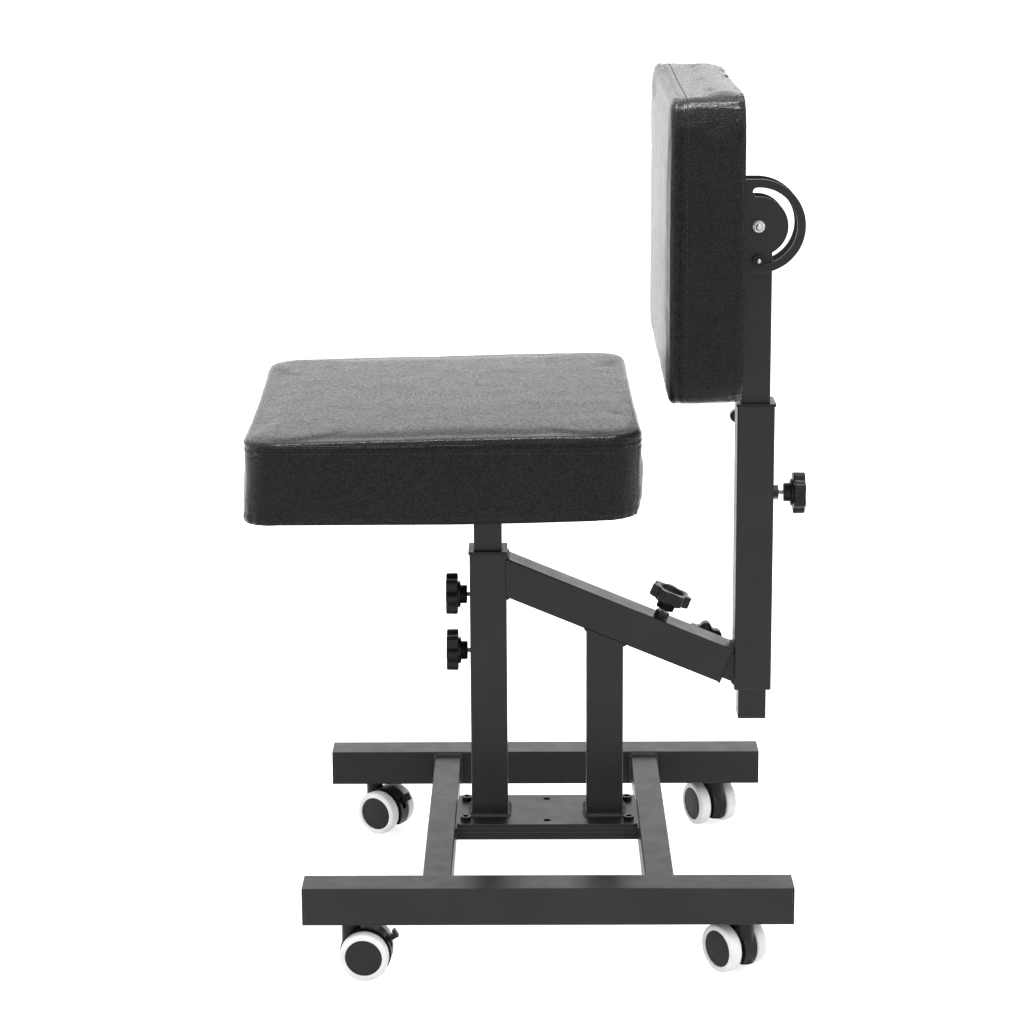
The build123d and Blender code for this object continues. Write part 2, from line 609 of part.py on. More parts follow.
with BuildPart() as pad_plate:
    block(pad_plane(PLATE_BACK_X, PIVOT_Z), PAD_PLATE, PAD_PLATE, PAD_PLATE_T, PLATE_R)
    for y, z in PAD_SCREWS:
        cylinder(facing((PLATE_BACK_X, y, z), (-1, 0, 0)), SCREW_R + STUD_FIT, PAD_PLATE_T,
                 mode=Mode.SUBTRACT)
save("pad_plate", pad_plate)

with BuildPart() as pad_board:
    block(pad_plane(PAD_BACK_X, PAD_MIDDLE_Z), PAD_WIDTH - 2 * BOARD_INSET,
          PAD_HEIGHT - 2 * BOARD_INSET, BOARD_T, CUSHION_R - BOARD_INSET)
    for y, z in PAD_SCREWS:
        cylinder(facing((PAD_BACK_X, y, z), (-1, 0, 0)), SCREW_R + STUD_FIT, SCREW_BITE,
                 mode=Mode.SUBTRACT)
save("pad_board", pad_board)

with BuildPart() as pad_cushion:
    block(pad_plane(PAD_BACK_X - BOARD_T, PAD_MIDDLE_Z), PAD_WIDTH, PAD_HEIGHT, PAD_THICK,
          CUSHION_R)
    fillet(pad_cushion.faces().sort_by(Axis.X)[0].edges(), SOFT_EDGE)
save("pad_cushion", pad_cushion)

with BuildPart() as pad_screws:
    for y, z in PAD_SCREWS:
        cylinder(facing((PLATE_BACK_X, y, z), (1, 0, 0)), SCREW_HEAD_R, SCREW_HEAD_H)
        cylinder(facing((PLATE_BACK_X, y, z), (-1, 0, 0)), SCREW_R, PAD_PLATE_T + SCREW_BITE)
        hexagon(facing((PLATE_BACK_X + SCREW_HEAD_H, y, z), (-1, 0, 0)), SCREW_R,
                SCREW_HEAD_H / 2, mode=Mode.SUBTRACT)
save("pad_screws", pad_screws)

# Star knobs: each stud stops just short of the sliding tube that it clamps
TUBE_TO_SLIDE = (TUBE - INNER) / 2 - STUD_SHORT

for knob_name, knob_z in SEAT_KNOBS_Z.items():
    clamp_knob(knob_name, facing((MAST_FACE, 0, knob_z), (-1, 0, 0)), TUBE_TO_SLIDE, KNOB_GAP)

for knob_name, face, gap in (("boom_knob_top", BOOM_TOP_FACE, KNOB_GAP),
                             ("boom_knob_side", BOOM_SIDE_FACE, KNOB_GAP),
                             ("back_knob_rear", BACK_REAR_FACE, BACK_KNOB_GAP),
                             ("back_knob_side", BACK_SIDE_FACE, BACK_KNOB_GAP)):
    clamp_knob(knob_name, face.offset(NUT_H), TUBE_TO_SLIDE + NUT_H, gap)

# The small lock knob turns on the stud that is fixed in the bushes
save("tilt_lock_knob", star_head(LOCK_FACE, LOCK_KNOB_GAP, LOCK_KNOB_R, STUD_R + STUD_FIT))

# Casters: a threaded stem fixed in the rail, a swivelling hood and two wheels
with BuildPart() as caster_stems:
    for _, side_x, side_y, _, _ in CASTERS:
        x, y = side_x * STEM_X, side_y * RAIL_Y
        rail_bottom = RAIL_Z - TUBE / 2
        cylinder(upright(x, y, STEM_BOTTOM), STEM_R, STEM_TOP - STEM_BOTTOM)
        cylinder(upright(x, y, rail_bottom), STEM_COLLAR_R, -STEM_COLLAR_H)
        hexagon(upright(x, y, rail_bottom + WALL), NUT_R, NUT_H)
save("caster_stems", caster_stems)


def polar(plane, radius, angle):
    """A point on a plane, given by its distance and angle from the plane's origin."""
    return plane.from_local_coords((radius * cos(radians(angle)), radius * sin(radians(angle))))


def caster_hood(name, stem, axle, across, side_view, braked):
    """Swivelling hood with the wheels' axle, and the brake's slot and pin where it has one."""
    with BuildPart() as hood:
        with BuildSketch(side_view) as outline:
            Circle(HOOD_R)
            with Locations((0, HOOD_BOTTOM - WHEEL_R - HOOD_R)):
                Rectangle(2 * HOOD_R, 2 * HOOD_R, mode=Mode.SUBTRACT)
        extrude(outline.sketch, amount=HOOD_W / 2, both=True)
        top = upright(stem.X, stem.Y, HOOD_TOP)
        cylinder(top, HOUSING_R, HOOD_BOTTOM - HOOD_TOP)
        cylinder(top, HOUSING_RIM_R, -HOUSING_RIM_H)
        cylinder(top, STEM_R + STUD_FIT, STEM_BOTTOM - STEM_GAP - HOOD_TOP, mode=Mode.SUBTRACT)
        cylinder(facing(axle - across * HOOD_W, across), AXLE_R + FIXED_FIT, 2 * HOOD_W,
                 mode=Mode.SUBTRACT)
        if braked:
            slot_plane = lever_plane(side_view)
            with BuildSketch(slot_plane) as slot:
                with BuildLine():
                    Polyline((-BRAKE_T / 2 - 1, -BRAKE_SLOT_DROP), (BRAKE_SLOT_OUT, -BRAKE_SLOT_DROP),
                             (BRAKE_SLOT_OUT, BRAKE_SLOT_RISE), (-BRAKE_T / 2 - 1, BRAKE_SLOT_RISE),
                             close=True)
                make_face()
            extrude(slot.sketch, amount=BRAKE_W / 2 + BRAKE_CLEAR, both=True, mode=Mode.SUBTRACT)
            cylinder(slot_plane.offset(-HOOD_W / 2), BRAKE_PIN_R + FIXED_FIT, HOOD_W,
                     mode=Mode.SUBTRACT)
    with BuildPart() as axle_pin:
        cylinder(facing(axle - across * AXLE_HALF, across), AXLE_R, 2 * AXLE_HALF)
    if not braked:
        save(f"caster_{name}_hood", hood, axle_pin)
        return
    with BuildPart() as brake_pin:
        cylinder(lever_plane(side_view).offset(-HOOD_W / 2), BRAKE_PIN_R, HOOD_W)
    save(f"caster_{name}_hood", hood, axle_pin, brake_pin)


def lever_plane(side_view):
    """Plane at the brake lever's pin, with its X along the lever."""
    outwards = polar(side_view, 1, BRAKE_ANGLE) - side_view.origin
    return Plane(origin=polar(side_view, BRAKE_PIVOT, BRAKE_ANGLE), x_dir=outwards,
                 z_dir=side_view.z_dir)


def caster_wheel(name, middle, outwards):
    """Tyre and closed disc; the axle runs in a blind bore from the inner face."""
    inner_face = facing(middle - outwards * (WHEEL_W / 2), outwards)
    with BuildPart() as tyre:
        cylinder(inner_face, WHEEL_R, WHEEL_W)
        fillet(tyre.edges().filter_by(GeomType.CIRCLE), TYRE_EDGE)
        cylinder(inner_face, DISC_R, WHEEL_W, mode=Mode.SUBTRACT)
    with BuildPart() as disc:
        cylinder(inner_face.offset(DISC_INSET), DISC_R, WHEEL_W - 2 * DISC_INSET)
        cylinder(inner_face, AXLE_R + STUD_FIT, WHEEL_BORE, mode=Mode.SUBTRACT)
    save(name, tyre, disc)


def brake_lever(name, side_view):
    """Foot lever with an upturned toe, on its pin."""
    with BuildPart() as lever:
        with BuildSketch(lever_plane(side_view)) as outline:
            Circle(BRAKE_T / 2)
            with Locations((BRAKE_ARM / 2, 0)):
                Rectangle(BRAKE_ARM, BRAKE_T)
            with Locations((BRAKE_ARM - BRAKE_TOE / 2, BRAKE_TOE / 2)):
                Rectangle(BRAKE_TOE, BRAKE_T + BRAKE_TOE)
            Circle(BRAKE_PIN_R + STUD_FIT, mode=Mode.SUBTRACT)
        extrude(outline.sketch, amount=BRAKE_W / 2, both=True)
    save(name, lever)


def caster(name, side_x, side_y, heading, braked):
    """One twin-wheel caster, swivelled to its heading."""
    stem = Vector(side_x * STEM_X, side_y * RAIL_Y, 0)
    trail = Vector(cos(radians(heading)), sin(radians(heading)), 0)
    across = Vector(-trail.Y, trail.X, 0)
    axle = stem + trail * TRAIL + Vector(0, 0, WHEEL_R)
    side_view = Plane(origin=axle, x_dir=trail, z_dir=across * -1)
    caster_hood(name, stem, axle, across, side_view, braked)
    caster_wheel(f"caster_{name}_wheel_a", axle - across * WHEEL_Y, across * -1)
    caster_wheel(f"caster_{name}_wheel_b", axle + across * WHEEL_Y, across)
    if braked:
        brake_lever(f"caster_{name}_brake", side_view)


for caster_row in CASTERS:
    caster(*caster_row)
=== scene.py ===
import json
import math

import bmesh
import bpy
import numpy as np
from mathutils import Matrix, Vector, noise
from mathutils.bvhtree import BVHTree

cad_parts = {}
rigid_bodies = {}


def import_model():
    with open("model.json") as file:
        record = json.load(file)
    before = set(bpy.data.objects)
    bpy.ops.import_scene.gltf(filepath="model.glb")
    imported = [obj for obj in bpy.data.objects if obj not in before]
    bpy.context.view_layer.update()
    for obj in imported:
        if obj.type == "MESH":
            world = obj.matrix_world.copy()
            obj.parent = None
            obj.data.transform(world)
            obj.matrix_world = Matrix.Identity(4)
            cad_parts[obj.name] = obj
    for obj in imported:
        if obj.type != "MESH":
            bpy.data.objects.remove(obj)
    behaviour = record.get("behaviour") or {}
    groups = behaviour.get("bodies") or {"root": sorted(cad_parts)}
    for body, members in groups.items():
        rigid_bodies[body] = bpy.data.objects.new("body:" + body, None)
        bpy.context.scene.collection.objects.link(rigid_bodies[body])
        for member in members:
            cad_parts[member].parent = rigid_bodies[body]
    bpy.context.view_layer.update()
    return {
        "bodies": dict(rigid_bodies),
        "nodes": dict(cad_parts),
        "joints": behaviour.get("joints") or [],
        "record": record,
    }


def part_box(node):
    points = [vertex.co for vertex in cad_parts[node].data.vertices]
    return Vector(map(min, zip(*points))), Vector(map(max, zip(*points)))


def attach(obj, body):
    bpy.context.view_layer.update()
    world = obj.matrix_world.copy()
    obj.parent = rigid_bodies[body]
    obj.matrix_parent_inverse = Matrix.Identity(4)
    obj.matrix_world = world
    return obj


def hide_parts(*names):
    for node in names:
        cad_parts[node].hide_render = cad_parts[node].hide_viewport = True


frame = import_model()
NODES = frame["nodes"]

MIDDLE_Y = -0.008      # the plane of the posts and the boom

# ---------------------------------------------------------------- materials


def new_material(name, color, roughness, metallic=0.0, specular=0.5):
    """A principled material; returns it with its node tree, shader and object coordinates."""
    material = bpy.data.materials.new(name)
    material.use_nodes = True
    tree = material.node_tree
    shader = tree.nodes["Principled BSDF"]
    shader.inputs["Base Color"].default_value = (*color, 1.0)
    shader.inputs["Roughness"].default_value = roughness
    shader.inputs["Metallic"].default_value = metallic
    shader.inputs["Specular IOR Level"].default_value = specular
    coords = tree.nodes.new("ShaderNodeTexCoord")
    return material, tree, shader, coords.outputs["Object"]


def noise_texture(tree, vector, scale, detail=4.0, roughness=0.5):
    node = tree.nodes.new("ShaderNodeTexNoise")
    node.inputs["Scale"].default_value = scale
    node.inputs["Detail"].default_value = detail
    node.inputs["Roughness"].default_value = roughness
    tree.links.new(vector, node.inputs["Vector"])
    return node.outputs["Fac"]


def remap(tree, value, low, high, to_low, to_high):
    node = tree.nodes.new("ShaderNodeMapRange")
    node.inputs["From Min"].default_value = low
    node.inputs["From Max"].default_value = high
    node.inputs["To Min"].default_value = to_low
    node.inputs["To Max"].default_value = to_high
    tree.links.new(value, node.inputs["Value"])
    return node.outputs["Result"]


def mix_colors(tree, factor, first, second):
    node = tree.nodes.new("ShaderNodeMix")
    node.data_type = "RGBA"
    for socket, value in ((node.inputs[6], first), (node.inputs[7], second)):
        if isinstance(value, tuple):
            socket.default_value = (*value, 1.0)
        else:
            tree.links.new(value, socket)
    tree.links.new(factor, node.inputs[0])
    return node.outputs[2]


def bump(tree, height, distance, strength, normal=None):
    node = tree.nodes.new("ShaderNodeBump")
    node.inputs["Distance"].default_value = distance
    node.inputs["Strength"].default_value = strength
    tree.links.new(height, node.inputs["Height"])
    if normal is not None:
        tree.links.new(normal, node.inputs["Normal"])
    return node.outputs["Normal"]


def edge_mask(tree, radius):
    """1 along sharp edges and 0 on flats, from how far a bevelled normal turns."""
    bevel = tree.nodes.new("ShaderNodeBevel")
    bevel.samples = 4
    bevel.inputs["Radius"].default_value = radius
    geometry = tree.nodes.new("ShaderNodeNewGeometry")
    dot = tree.nodes.new("ShaderNodeVectorMath")
    dot.operation = "DOT_PRODUCT"
    tree.links.new(bevel.outputs["Normal"], dot.inputs[0])
    tree.links.new(geometry.outputs["Normal"], dot.inputs[1])
    return remap(tree, dot.outputs["Value"], 0.995, 0.9, 0.0, 1.0)


def powder_coat():
    """Satin charcoal powder coat: fine orange peel, faint dust, and a painted highlight that makes
    sharp edges paler.
    """
    material, tree, shader, coords = new_material("frame_paint", (0.007, 0.0073, 0.0078), 0.36,
                                                  specular=0.2)
    cloud = noise_texture(tree, coords, 9.0)
    dark = mix_colors(tree, remap(tree, cloud, 0.3, 0.7, 0.0, 1.0),
                      (0.006, 0.0063, 0.0068), (0.009, 0.0093, 0.0098))
    # Painted highlight: sharp edges get a paler colour in place of the light that their rounding
    # catches
    painted_edge_highlight = mix_colors(tree, edge_mask(tree, 0.0008), dark, (0.07, 0.071, 0.073))
    tree.links.new(painted_edge_highlight, shader.inputs["Base Color"])
    smudge = noise_texture(tree, coords, 38.0, 6.0)
    tree.links.new(remap(tree, smudge, 0.3, 0.7, 0.32, 0.42), shader.inputs["Roughness"])
    peel = noise_texture(tree, coords, 1500.0, 2.0)
    tree.links.new(bump(tree, peel, 0.0001, 0.35), shader.inputs["Normal"])
    return material


def leather():
    """Black synthetic leather: pebbled grain with creases, gloss that varies with handling."""
    material, tree, shader, coords = new_material("black_leather", (0.004, 0.004, 0.0045), 0.36,
                                                  specular=0.06)
    cells = tree.nodes.new("ShaderNodeTexVoronoi")
    cells.feature = "DISTANCE_TO_EDGE"
    cells.inputs["Scale"].default_value = 340.0
    wobble = tree.nodes.new("ShaderNodeTexNoise")
    wobble.inputs["Scale"].default_value = 300.0
    tree.links.new(coords, wobble.inputs["Vector"])
    bent = tree.nodes.new("ShaderNodeVectorMath")
    bent.operation = "MULTIPLY_ADD"
    bent.inputs[1].default_value = (0.002, 0.002, 0.002)
    tree.links.new(wobble.outputs["Color"], bent.inputs[0])
    tree.links.new(coords, bent.inputs[2])
    tree.links.new(bent.outputs["Vector"], cells.inputs["Vector"])
    pebbles = remap(tree, cells.outputs["Distance"], 0.0, 0.25, 0.0, 1.0)
    tone = noise_texture(tree, coords, 14.0)
    base = mix_colors(tree, remap(tree, tone, 0.3, 0.7, 0.0, 1.0),
                      (0.0035, 0.0035, 0.0038), (0.005, 0.005, 0.0053))
    grain = mix_colors(tree, pebbles, (0.002, 0.002, 0.002), base)
    tree.links.new(grain, shader.inputs["Base Color"])
    rub = noise_texture(tree, coords, 60.0, 5.0)
    tree.links.new(remap(tree, rub, 0.3, 0.7, 0.33, 0.40), shader.inputs["Roughness"])
    fine = bump(tree, pebbles, 0.0006, 1.0)
    finish = noise_texture(tree, coords, 330.0, 3.0)
    tree.links.new(remap(tree, finish, 0.4, 0.6, 0.22, 0.62), shader.inputs["Coat Weight"])
    shader.inputs["Coat IOR"].default_value = 1.26
    shader.inputs["Coat Roughness"].default_value = 0.13
    tree.links.new(bump(tree, pebbles, 0.0002, 0.4), shader.inputs["Coat Normal"])
    folds = noise_texture(tree, coords, 70.0, 3.0)
    tree.links.new(bump(tree, folds, 0.0005, 0.12, fine), shader.inputs["Normal"])
    return material


def plastic(name, color, roughness):
    """Moulded plastic with a fine spark-eroded texture."""
    material, tree, shader, coords = new_material(name, color, roughness, specular=0.16)
    tone = noise_texture(tree, coords, 60.0)
    paler = tuple(1.35 * c for c in color)
    tree.links.new(mix_colors(tree, remap(tree, tone, 0.35, 0.7, 0.0, 1.0), color, paler),
                   shader.inputs["Base Color"])
    scuff = noise_texture(tree, coords, 120.0, 6.0)
    tree.links.new(remap(tree, scuff, 0.3, 0.7, roughness - 0.08, roughness + 0.08),
                   shader.inputs["Roughness"])
    grain = noise_texture(tree, coords, 900.0, 2.0)
    tree.links.new(bump(tree, grain, 0.0001, 0.4), shader.inputs["Normal"])
    return material


def tyre_rubber():
    """Pale grey polyurethane with a slight dirt tone."""
    material, tree, shader, coords = new_material("pale_tyre", (0.74, 0.74, 0.73), 0.45)
    dirt = noise_texture(tree, coords, 45.0, 6.0)
    tree.links.new(mix_colors(tree, remap(tree, dirt, 0.45, 0.8, 0.0, 1.0),
                              (0.48, 0.48, 0.475), (0.39, 0.386, 0.378)),
                   shader.inputs["Base Color"])
    shader.inputs["Subsurface Weight"].default_value = 0.05
    shader.inputs["Subsurface Radius"].default_value = (0.002, 0.002, 0.002)
    grain = noise_texture(tree, coords, 700.0, 2.0)
    tree.links.new(bump(tree, grain, 0.0001, 0.3), shader.inputs["Normal"])
    return material


def plated_steel(name, color, roughness):
    """Zinc-plated or blackened steel with fine brushing."""
    material, tree, shader, coords = new_material(name, color, roughness, metallic=1.0)
    patches = noise_texture(tree, coords, 260.0, 5.0)
    tree.links.new(remap(tree, patches, 0.3, 0.7, roughness - 0.1, roughness + 0.15),
                   shader.inputs["Roughness"])
    tone = mix_colors(tree, patches, tuple(0.8 * c for c in color), color)
    tree.links.new(tone, shader.inputs["Base Color"])
    tree.links.new(bump(tree, patches, 0.0001, 0.3), shader.inputs["Normal"])
    return material


def plywood():
    """Bare birch plywood with a drawn-out grain."""
    material, tree, shader, coords = new_material("plywood", (0.5, 0.36, 0.2), 0.7)
    stretch = tree.nodes.new("ShaderNodeMapping")
    stretch.inputs["Scale"].default_value = (60.0, 4.0, 60.0)
    tree.links.new(coords, stretch.inputs["Vector"])
    grain = noise_texture(tree, stretch.outputs["Vector"], 3.0, 8.0, 0.65)
    tree.links.new(mix_colors(tree, remap(tree, grain, 0.3, 0.7, 0.0, 1.0),
                              (0.2, 0.13, 0.068), (0.34, 0.25, 0.15)),
                   shader.inputs["Base Color"])
    tree.links.new(bump(tree, grain, 0.0004, 0.4), shader.inputs["Normal"])
    return material


MATERIALS = {
    "frame_paint": powder_coat(),
    "black_leather": leather(),
    "black_plastic": plastic("black_plastic", (0.0035, 0.0035, 0.0037), 0.36),
    "dark_disc": plastic("dark_disc", (0.009, 0.009, 0.0095), 0.5),
    "pale_tyre": tyre_rubber(),
    "zinc": plated_steel("zinc", (0.42, 0.42, 0.415), 0.26),
    "black_steel": plated_steel("black_steel", (0.018, 0.018, 0.019), 0.34),
    "plywood": plywood(),
}
THREAD = plastic("stitch_thread", (0.016, 0.016, 0.017), 0.6)

for subpart in frame["record"]["subparts"]:
    node = NODES[subpart["node"]]
    node.data.materials.clear()
    node.data.materials.append(MATERIALS[subpart["material_slot"]])

# ---------------------------------------------------------------- mesh helpers


def finish_piece(obj, body, slot, replaced=(), material=None):
    """Shade a new piece, give it its material, and hang it on a body."""
    obj.data.materials.clear()
    obj.data.materials.append(material or MATERIALS[slot])
    for polygon in obj.data.polygons:
        polygon.use_smooth = True
    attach(obj, body)
    if replaced:
        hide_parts(*replaced)
    return obj


def object_from(name, verts, faces):
    mesh = bpy.data.meshes.new(name)
    mesh.from_pydata([tuple(v) for v in verts], [], faces)
    mesh.validate()
    obj = bpy.data.objects.new(name, mesh)
    bpy.context.scene.collection.objects.link(obj)
    return obj


def sharpen(obj, angle):
    """Keep edges sharper than the angle crisp under smooth shading."""
    mesh = bmesh.new()
    mesh.from_mesh(obj.data)
    for edge in mesh.edges:
        if len(edge.link_faces) == 2 and edge.calc_face_angle() > math.radians(angle):
            edge.smooth = False
    mesh.to_mesh(obj.data)
    mesh.free()


def axis_matrix(origin, axis):
    """Matrix whose local Z is the axis, at an origin."""
    turn = Vector(axis).normalized().to_track_quat("Z", "Y").to_matrix().to_4x4()
    return Matrix.Translation(Vector(origin)) @ turn


def face_outwards(obj):
    """Turn every face of a closed surface outwards."""
    mesh = bmesh.new()
    mesh.from_mesh(obj.data)
    bmesh.ops.recalc_face_normals(mesh, faces=mesh.faces)
    mesh.to_mesh(obj.data)
    mesh.free()
    return obj


def lathe(name, matrix, layers, segments=96, looped=False):
    """Closed surface of layers about local Z. A layer is (height, radius) or
    (height, function of the angle); a zero radius closes an end, and a looped one is a ring."""
    verts, faces, rings = [], [], []
    for height, radius in layers:
        if not callable(radius) and radius == 0:
            rings.append([len(verts)])
            verts.append(matrix @ Vector((0, 0, height)))
            continue
        ring = []
        for i in range(segments):
            angle = 2 * math.pi * i / segments
            r = radius(angle) if callable(radius) else radius
            ring.append(len(verts))
            verts.append(matrix @ Vector((r * math.cos(angle), r * math.sin(angle), height)))
        rings.append(ring)
    for low, high in zip(rings, rings[1:] + rings[:1] if looped else rings[1:]):
        for i in range(segments):
            j = (i + 1) % segments
            if len(low) == 1:
                faces.append((low[0], high[j], high[i]))
            elif len(high) == 1:
                faces.append((low[i], low[j], high[0]))
            else:
                faces.append((low[i], low[j], high[j], high[i]))
    return face_outwards(object_from(name, verts, faces))


def sweep(name, path, sections, closed):
    """Tube through frames of a path. path holds (origin, side, up) and sections(i) gives the
    section at frame i as (side, up) offsets; a closed path joins its ends."""
    verts, faces = [], []
    first = sections(0)
    count, around = len(path), len(first)
    for i, (origin, side, up) in enumerate(path):
        verts.extend(origin + side * a + up * b for a, b in sections(i))
    spans = count if closed else count - 1
    for i in range(spans):
        j = (i + 1) % count
        for k in range(around):
            m = (k + 1) % around
            faces.append((i * around + k, i * around + m, j * around + m, j * around + k))
    if not closed:
        faces.append(tuple(range(around)))
        faces.append(tuple((count - 1) * around + k for k in reversed(range(around))))
    return face_outwards(object_from(name, verts, faces))


def join(name, objects):
    """One object from several, all at the origin."""
    mesh = bmesh.new()
    for obj in objects:
        mesh.from_mesh(obj.data)
        bpy.data.objects.remove(obj)
    data = bpy.data.meshes.new(name)
    mesh.to_mesh(data)
    mesh.free()
    joined = bpy.data.objects.new(name, data)
    bpy.context.scene.collection.objects.link(joined)
    return joined


def applied(obj):
    """Replace an object's mesh by what its modifiers make of it."""
    shown = obj.evaluated_get(bpy.context.evaluated_depsgraph_get())
    mesh = bpy.data.meshes.new_from_object(shown)
    obj.modifiers.clear()
    obj.data = mesh
    return obj


def get_points(mesh):
    points = np.empty(len(mesh.vertices) * 3)
    mesh.vertices.foreach_get("co", points)
    return points.reshape(-1, 3)


def set_points(mesh, points):
    mesh.vertices.foreach_set("co", np.ascontiguousarray(points, dtype=np.float64).ravel())
    mesh.update()


def get_normals(mesh):
    normals = np.empty(len(mesh.vertices) * 3)
    mesh.vertices.foreach_get("normal", normals)
    return normals.reshape(-1, 3)


# ---------------------------------------------------------------- cushions
#
# A cushion is made lying on its board: X across, Y along, Z out of the board, all in metres,
# with the board's hidden face at Z = 0. A matrix then puts it in place.

VOXEL = 0.005
HEM = 0.024            # vinyl turned under the board
HEM_DROP = 0.0012      # how far the hem stands below the board
HOLLOW = 0.004         # how far the cover's underside is pulled up inside the board
MOST_SUNK = 0.001      # how far a point may sink in the simulation
BOARD_LINE = 0.012     # where the cover passes from the foam to the board's edge
BOARD_INSET, BOARD_T = 0.0085, 0.012       # board inside the cover's outline, and its thickness
TOP_EDGE, BOTTOM_EDGE = 0.009, 0.003       # roundings of the cover's edges
PULL_IN = 0.0015       # how far the middle of each side is pulled in
PRESSURE, MOST_MOVED = 4.0, 0.003          # of the cloth simulation
CLOTH_FRAMES = 20
CROWN_POWER = 2.5      # how flat the domed top stays towards its middle
WRINKLES = 0.0007
SEAM_DROP = 0.0125     # seam below the cushion's top edge
STITCH_DROP = 0.0085   # stitch row below the seam
ROLL_DROP = 0.006      # middle of the soft roll below the top edge
STITCH_PITCH, STITCH_LENGTH, STITCH_R = 0.0066, 0.0048, 0.00048
SEAM_GROOVE, STITCH_GROOVE = (0.0022, 0.0026), (0.0007, 0.0022)        # depth and width
BOARD_GROOVE, TOP_ROLL = (0.0008, 0.0024), (0.0008, 0.0045)
PLEAT, PLEAT_HEIGHT = 0.0007, 0.03
RAGGED, HEM_SLOPE = 0.0025, 0.004          # unevenness of the hem's edge, and its ramp


def outline(width, height, corner, pull_in, count):
    """Points and outward normals round a rounded rectangle whose sides pull in a little."""
    straight_x, straight_y = width - 2 * corner, height - 2 * corner
    quarter = corner * math.pi / 2
    total = 2 * (straight_x + straight_y) + 4 * quarter
    sides = [
        (Vector((1, 0)), Vector((0, -1)), straight_x, Vector((-straight_x / 2, -height / 2))),
        (Vector((0, 1)), Vector((1, 0)), straight_y, Vector((width / 2, -straight_y / 2))),
        (Vector((-1, 0)), Vector((0, 1)), straight_x, Vector((straight_x / 2, height / 2))),
        (Vector((0, -1)), Vector((-1, 0)), straight_y, Vector((-width / 2, straight_y / 2))),
    ]
    points = []
    for i in range(count):
        s = total * i / count
        for along, out, length, start in sides:
            if s < length:
                sag = pull_in * math.sin(math.pi * s / length) ** 2
                points.append((start + along * s - out * sag, out))
                break
            s -= length
            if s < quarter:
                turn = s / corner
                normal = out * math.cos(turn) + along * math.sin(turn)
                points.append((start + along * length - out * corner + normal * corner, normal))
                break
            s -= quarter
    return points


def slab(name, rim, depth, top_edge, bottom_edge):
    """Closed slab over an outline, with rounded top and bottom edges."""
    steps = 6
    turns = [math.pi / 2 * k / steps for k in range(steps + 1)]
    layers = [(bottom_edge * (1 - math.sin(a)), bottom_edge * (1 - math.cos(a))) for a in turns]
    layers += [(top_edge * (1 - math.cos(a)), depth - top_edge + top_edge * math.sin(a))
               for a in turns]
    verts, faces = [], []
    count = len(rim)
    for inset, height in layers:
        verts.extend((p.x - n.x * inset, p.y - n.y * inset, height) for p, n in rim)
    for i in range(len(layers) - 1):
        for k in range(count):
            m = (k + 1) % count
            faces.append((i * count + k, i * count + m, (i + 1) * count + m, (i + 1) * count + k))
    faces.append(tuple(reversed(range(count))))
    faces.append(tuple((len(layers) - 1) * count + k for k in range(count)))
    return object_from(name, verts, faces)


def inflate(obj, held, pressure, cap):
    """Swell a closed mesh by cloth simulation. The held points stay, no point moves further than
    the cap, and none sinks in by more than a little, so the panels stay as wide as they were cut."""
    start = get_points(obj.data)
    outward = get_normals(obj.data)
    group = obj.vertex_groups.new(name="held")
    group.add([int(i) for i in np.nonzero(held)[0]], 1.0, "REPLACE")
    cloth = obj.modifiers.new("Cloth", "CLOTH")
    cloth.settings.quality = 5
    cloth.settings.mass = 0.25
    cloth.settings.tension_stiffness = 12
    cloth.settings.compression_stiffness = 12
    cloth.settings.shear_stiffness = 6
    cloth.settings.bending_stiffness = 2
    cloth.settings.use_pressure = True
    cloth.settings.uniform_pressure_force = pressure
    cloth.settings.vertex_group_mass = "held"
    cloth.settings.effector_weights.gravity = 0
    cloth.point_cache.frame_start, cloth.point_cache.frame_end = 1, CLOTH_FRAMES
    scene = bpy.context.scene
    for frame_number in range(1, CLOTH_FRAMES + 1):
        scene.frame_set(frame_number)
    shown = obj.evaluated_get(bpy.context.evaluated_depsgraph_get())
    moved = get_points(shown.data)
    step = moved - start
    swell = np.sum(step * outward, axis=1, keepdims=True)
    step += outward * (np.maximum(swell, -MOST_SUNK) - swell)
    size = np.linalg.norm(step, axis=1, keepdims=True)
    step *= np.minimum(1.0, cap / np.maximum(size, 1e-9))
    obj.modifiers.clear()
    obj.vertex_groups.clear()
    set_points(obj.data, start + step)
    scene.frame_set(1)


def crown(points, width, height, depth, rise):
    """Dome the top a little: most in the middle, nothing at the rim."""
    across = np.clip(1 - (np.abs(points[:, 0]) / (width / 2)) ** CROWN_POWER, 0, 1)
    along = np.clip(1 - (np.abs(points[:, 1]) / (height / 2)) ** CROWN_POWER, 0, 1)
    share = np.clip(points[:, 2] / depth, 0, 1)
    points[:, 2] += rise * across * along * share ** 2


def wrinkled(points, normals, amount, seed):
    """Push points along their normals by soft noise, for a cover that isn't drum tight."""
    offset = Vector((seed, 2.0 * seed, 0.5 * seed))
    for i in range(len(points)):
        p = Vector(points[i])
        broad = noise.noise(p * 14.0 + offset)
        fold = noise.noise(Vector((p.x * 26.0, p.y * 26.0, p.z * 60.0)) + offset)
        points[i] += normals[i] * amount * (0.65 * broad + 0.5 * fold)


def band(points, level, size):
    """Rounded ridge of a depth and width along a level."""
    return size[0] * np.exp(-(((points[:, 2] - level) / size[1]) ** 2))


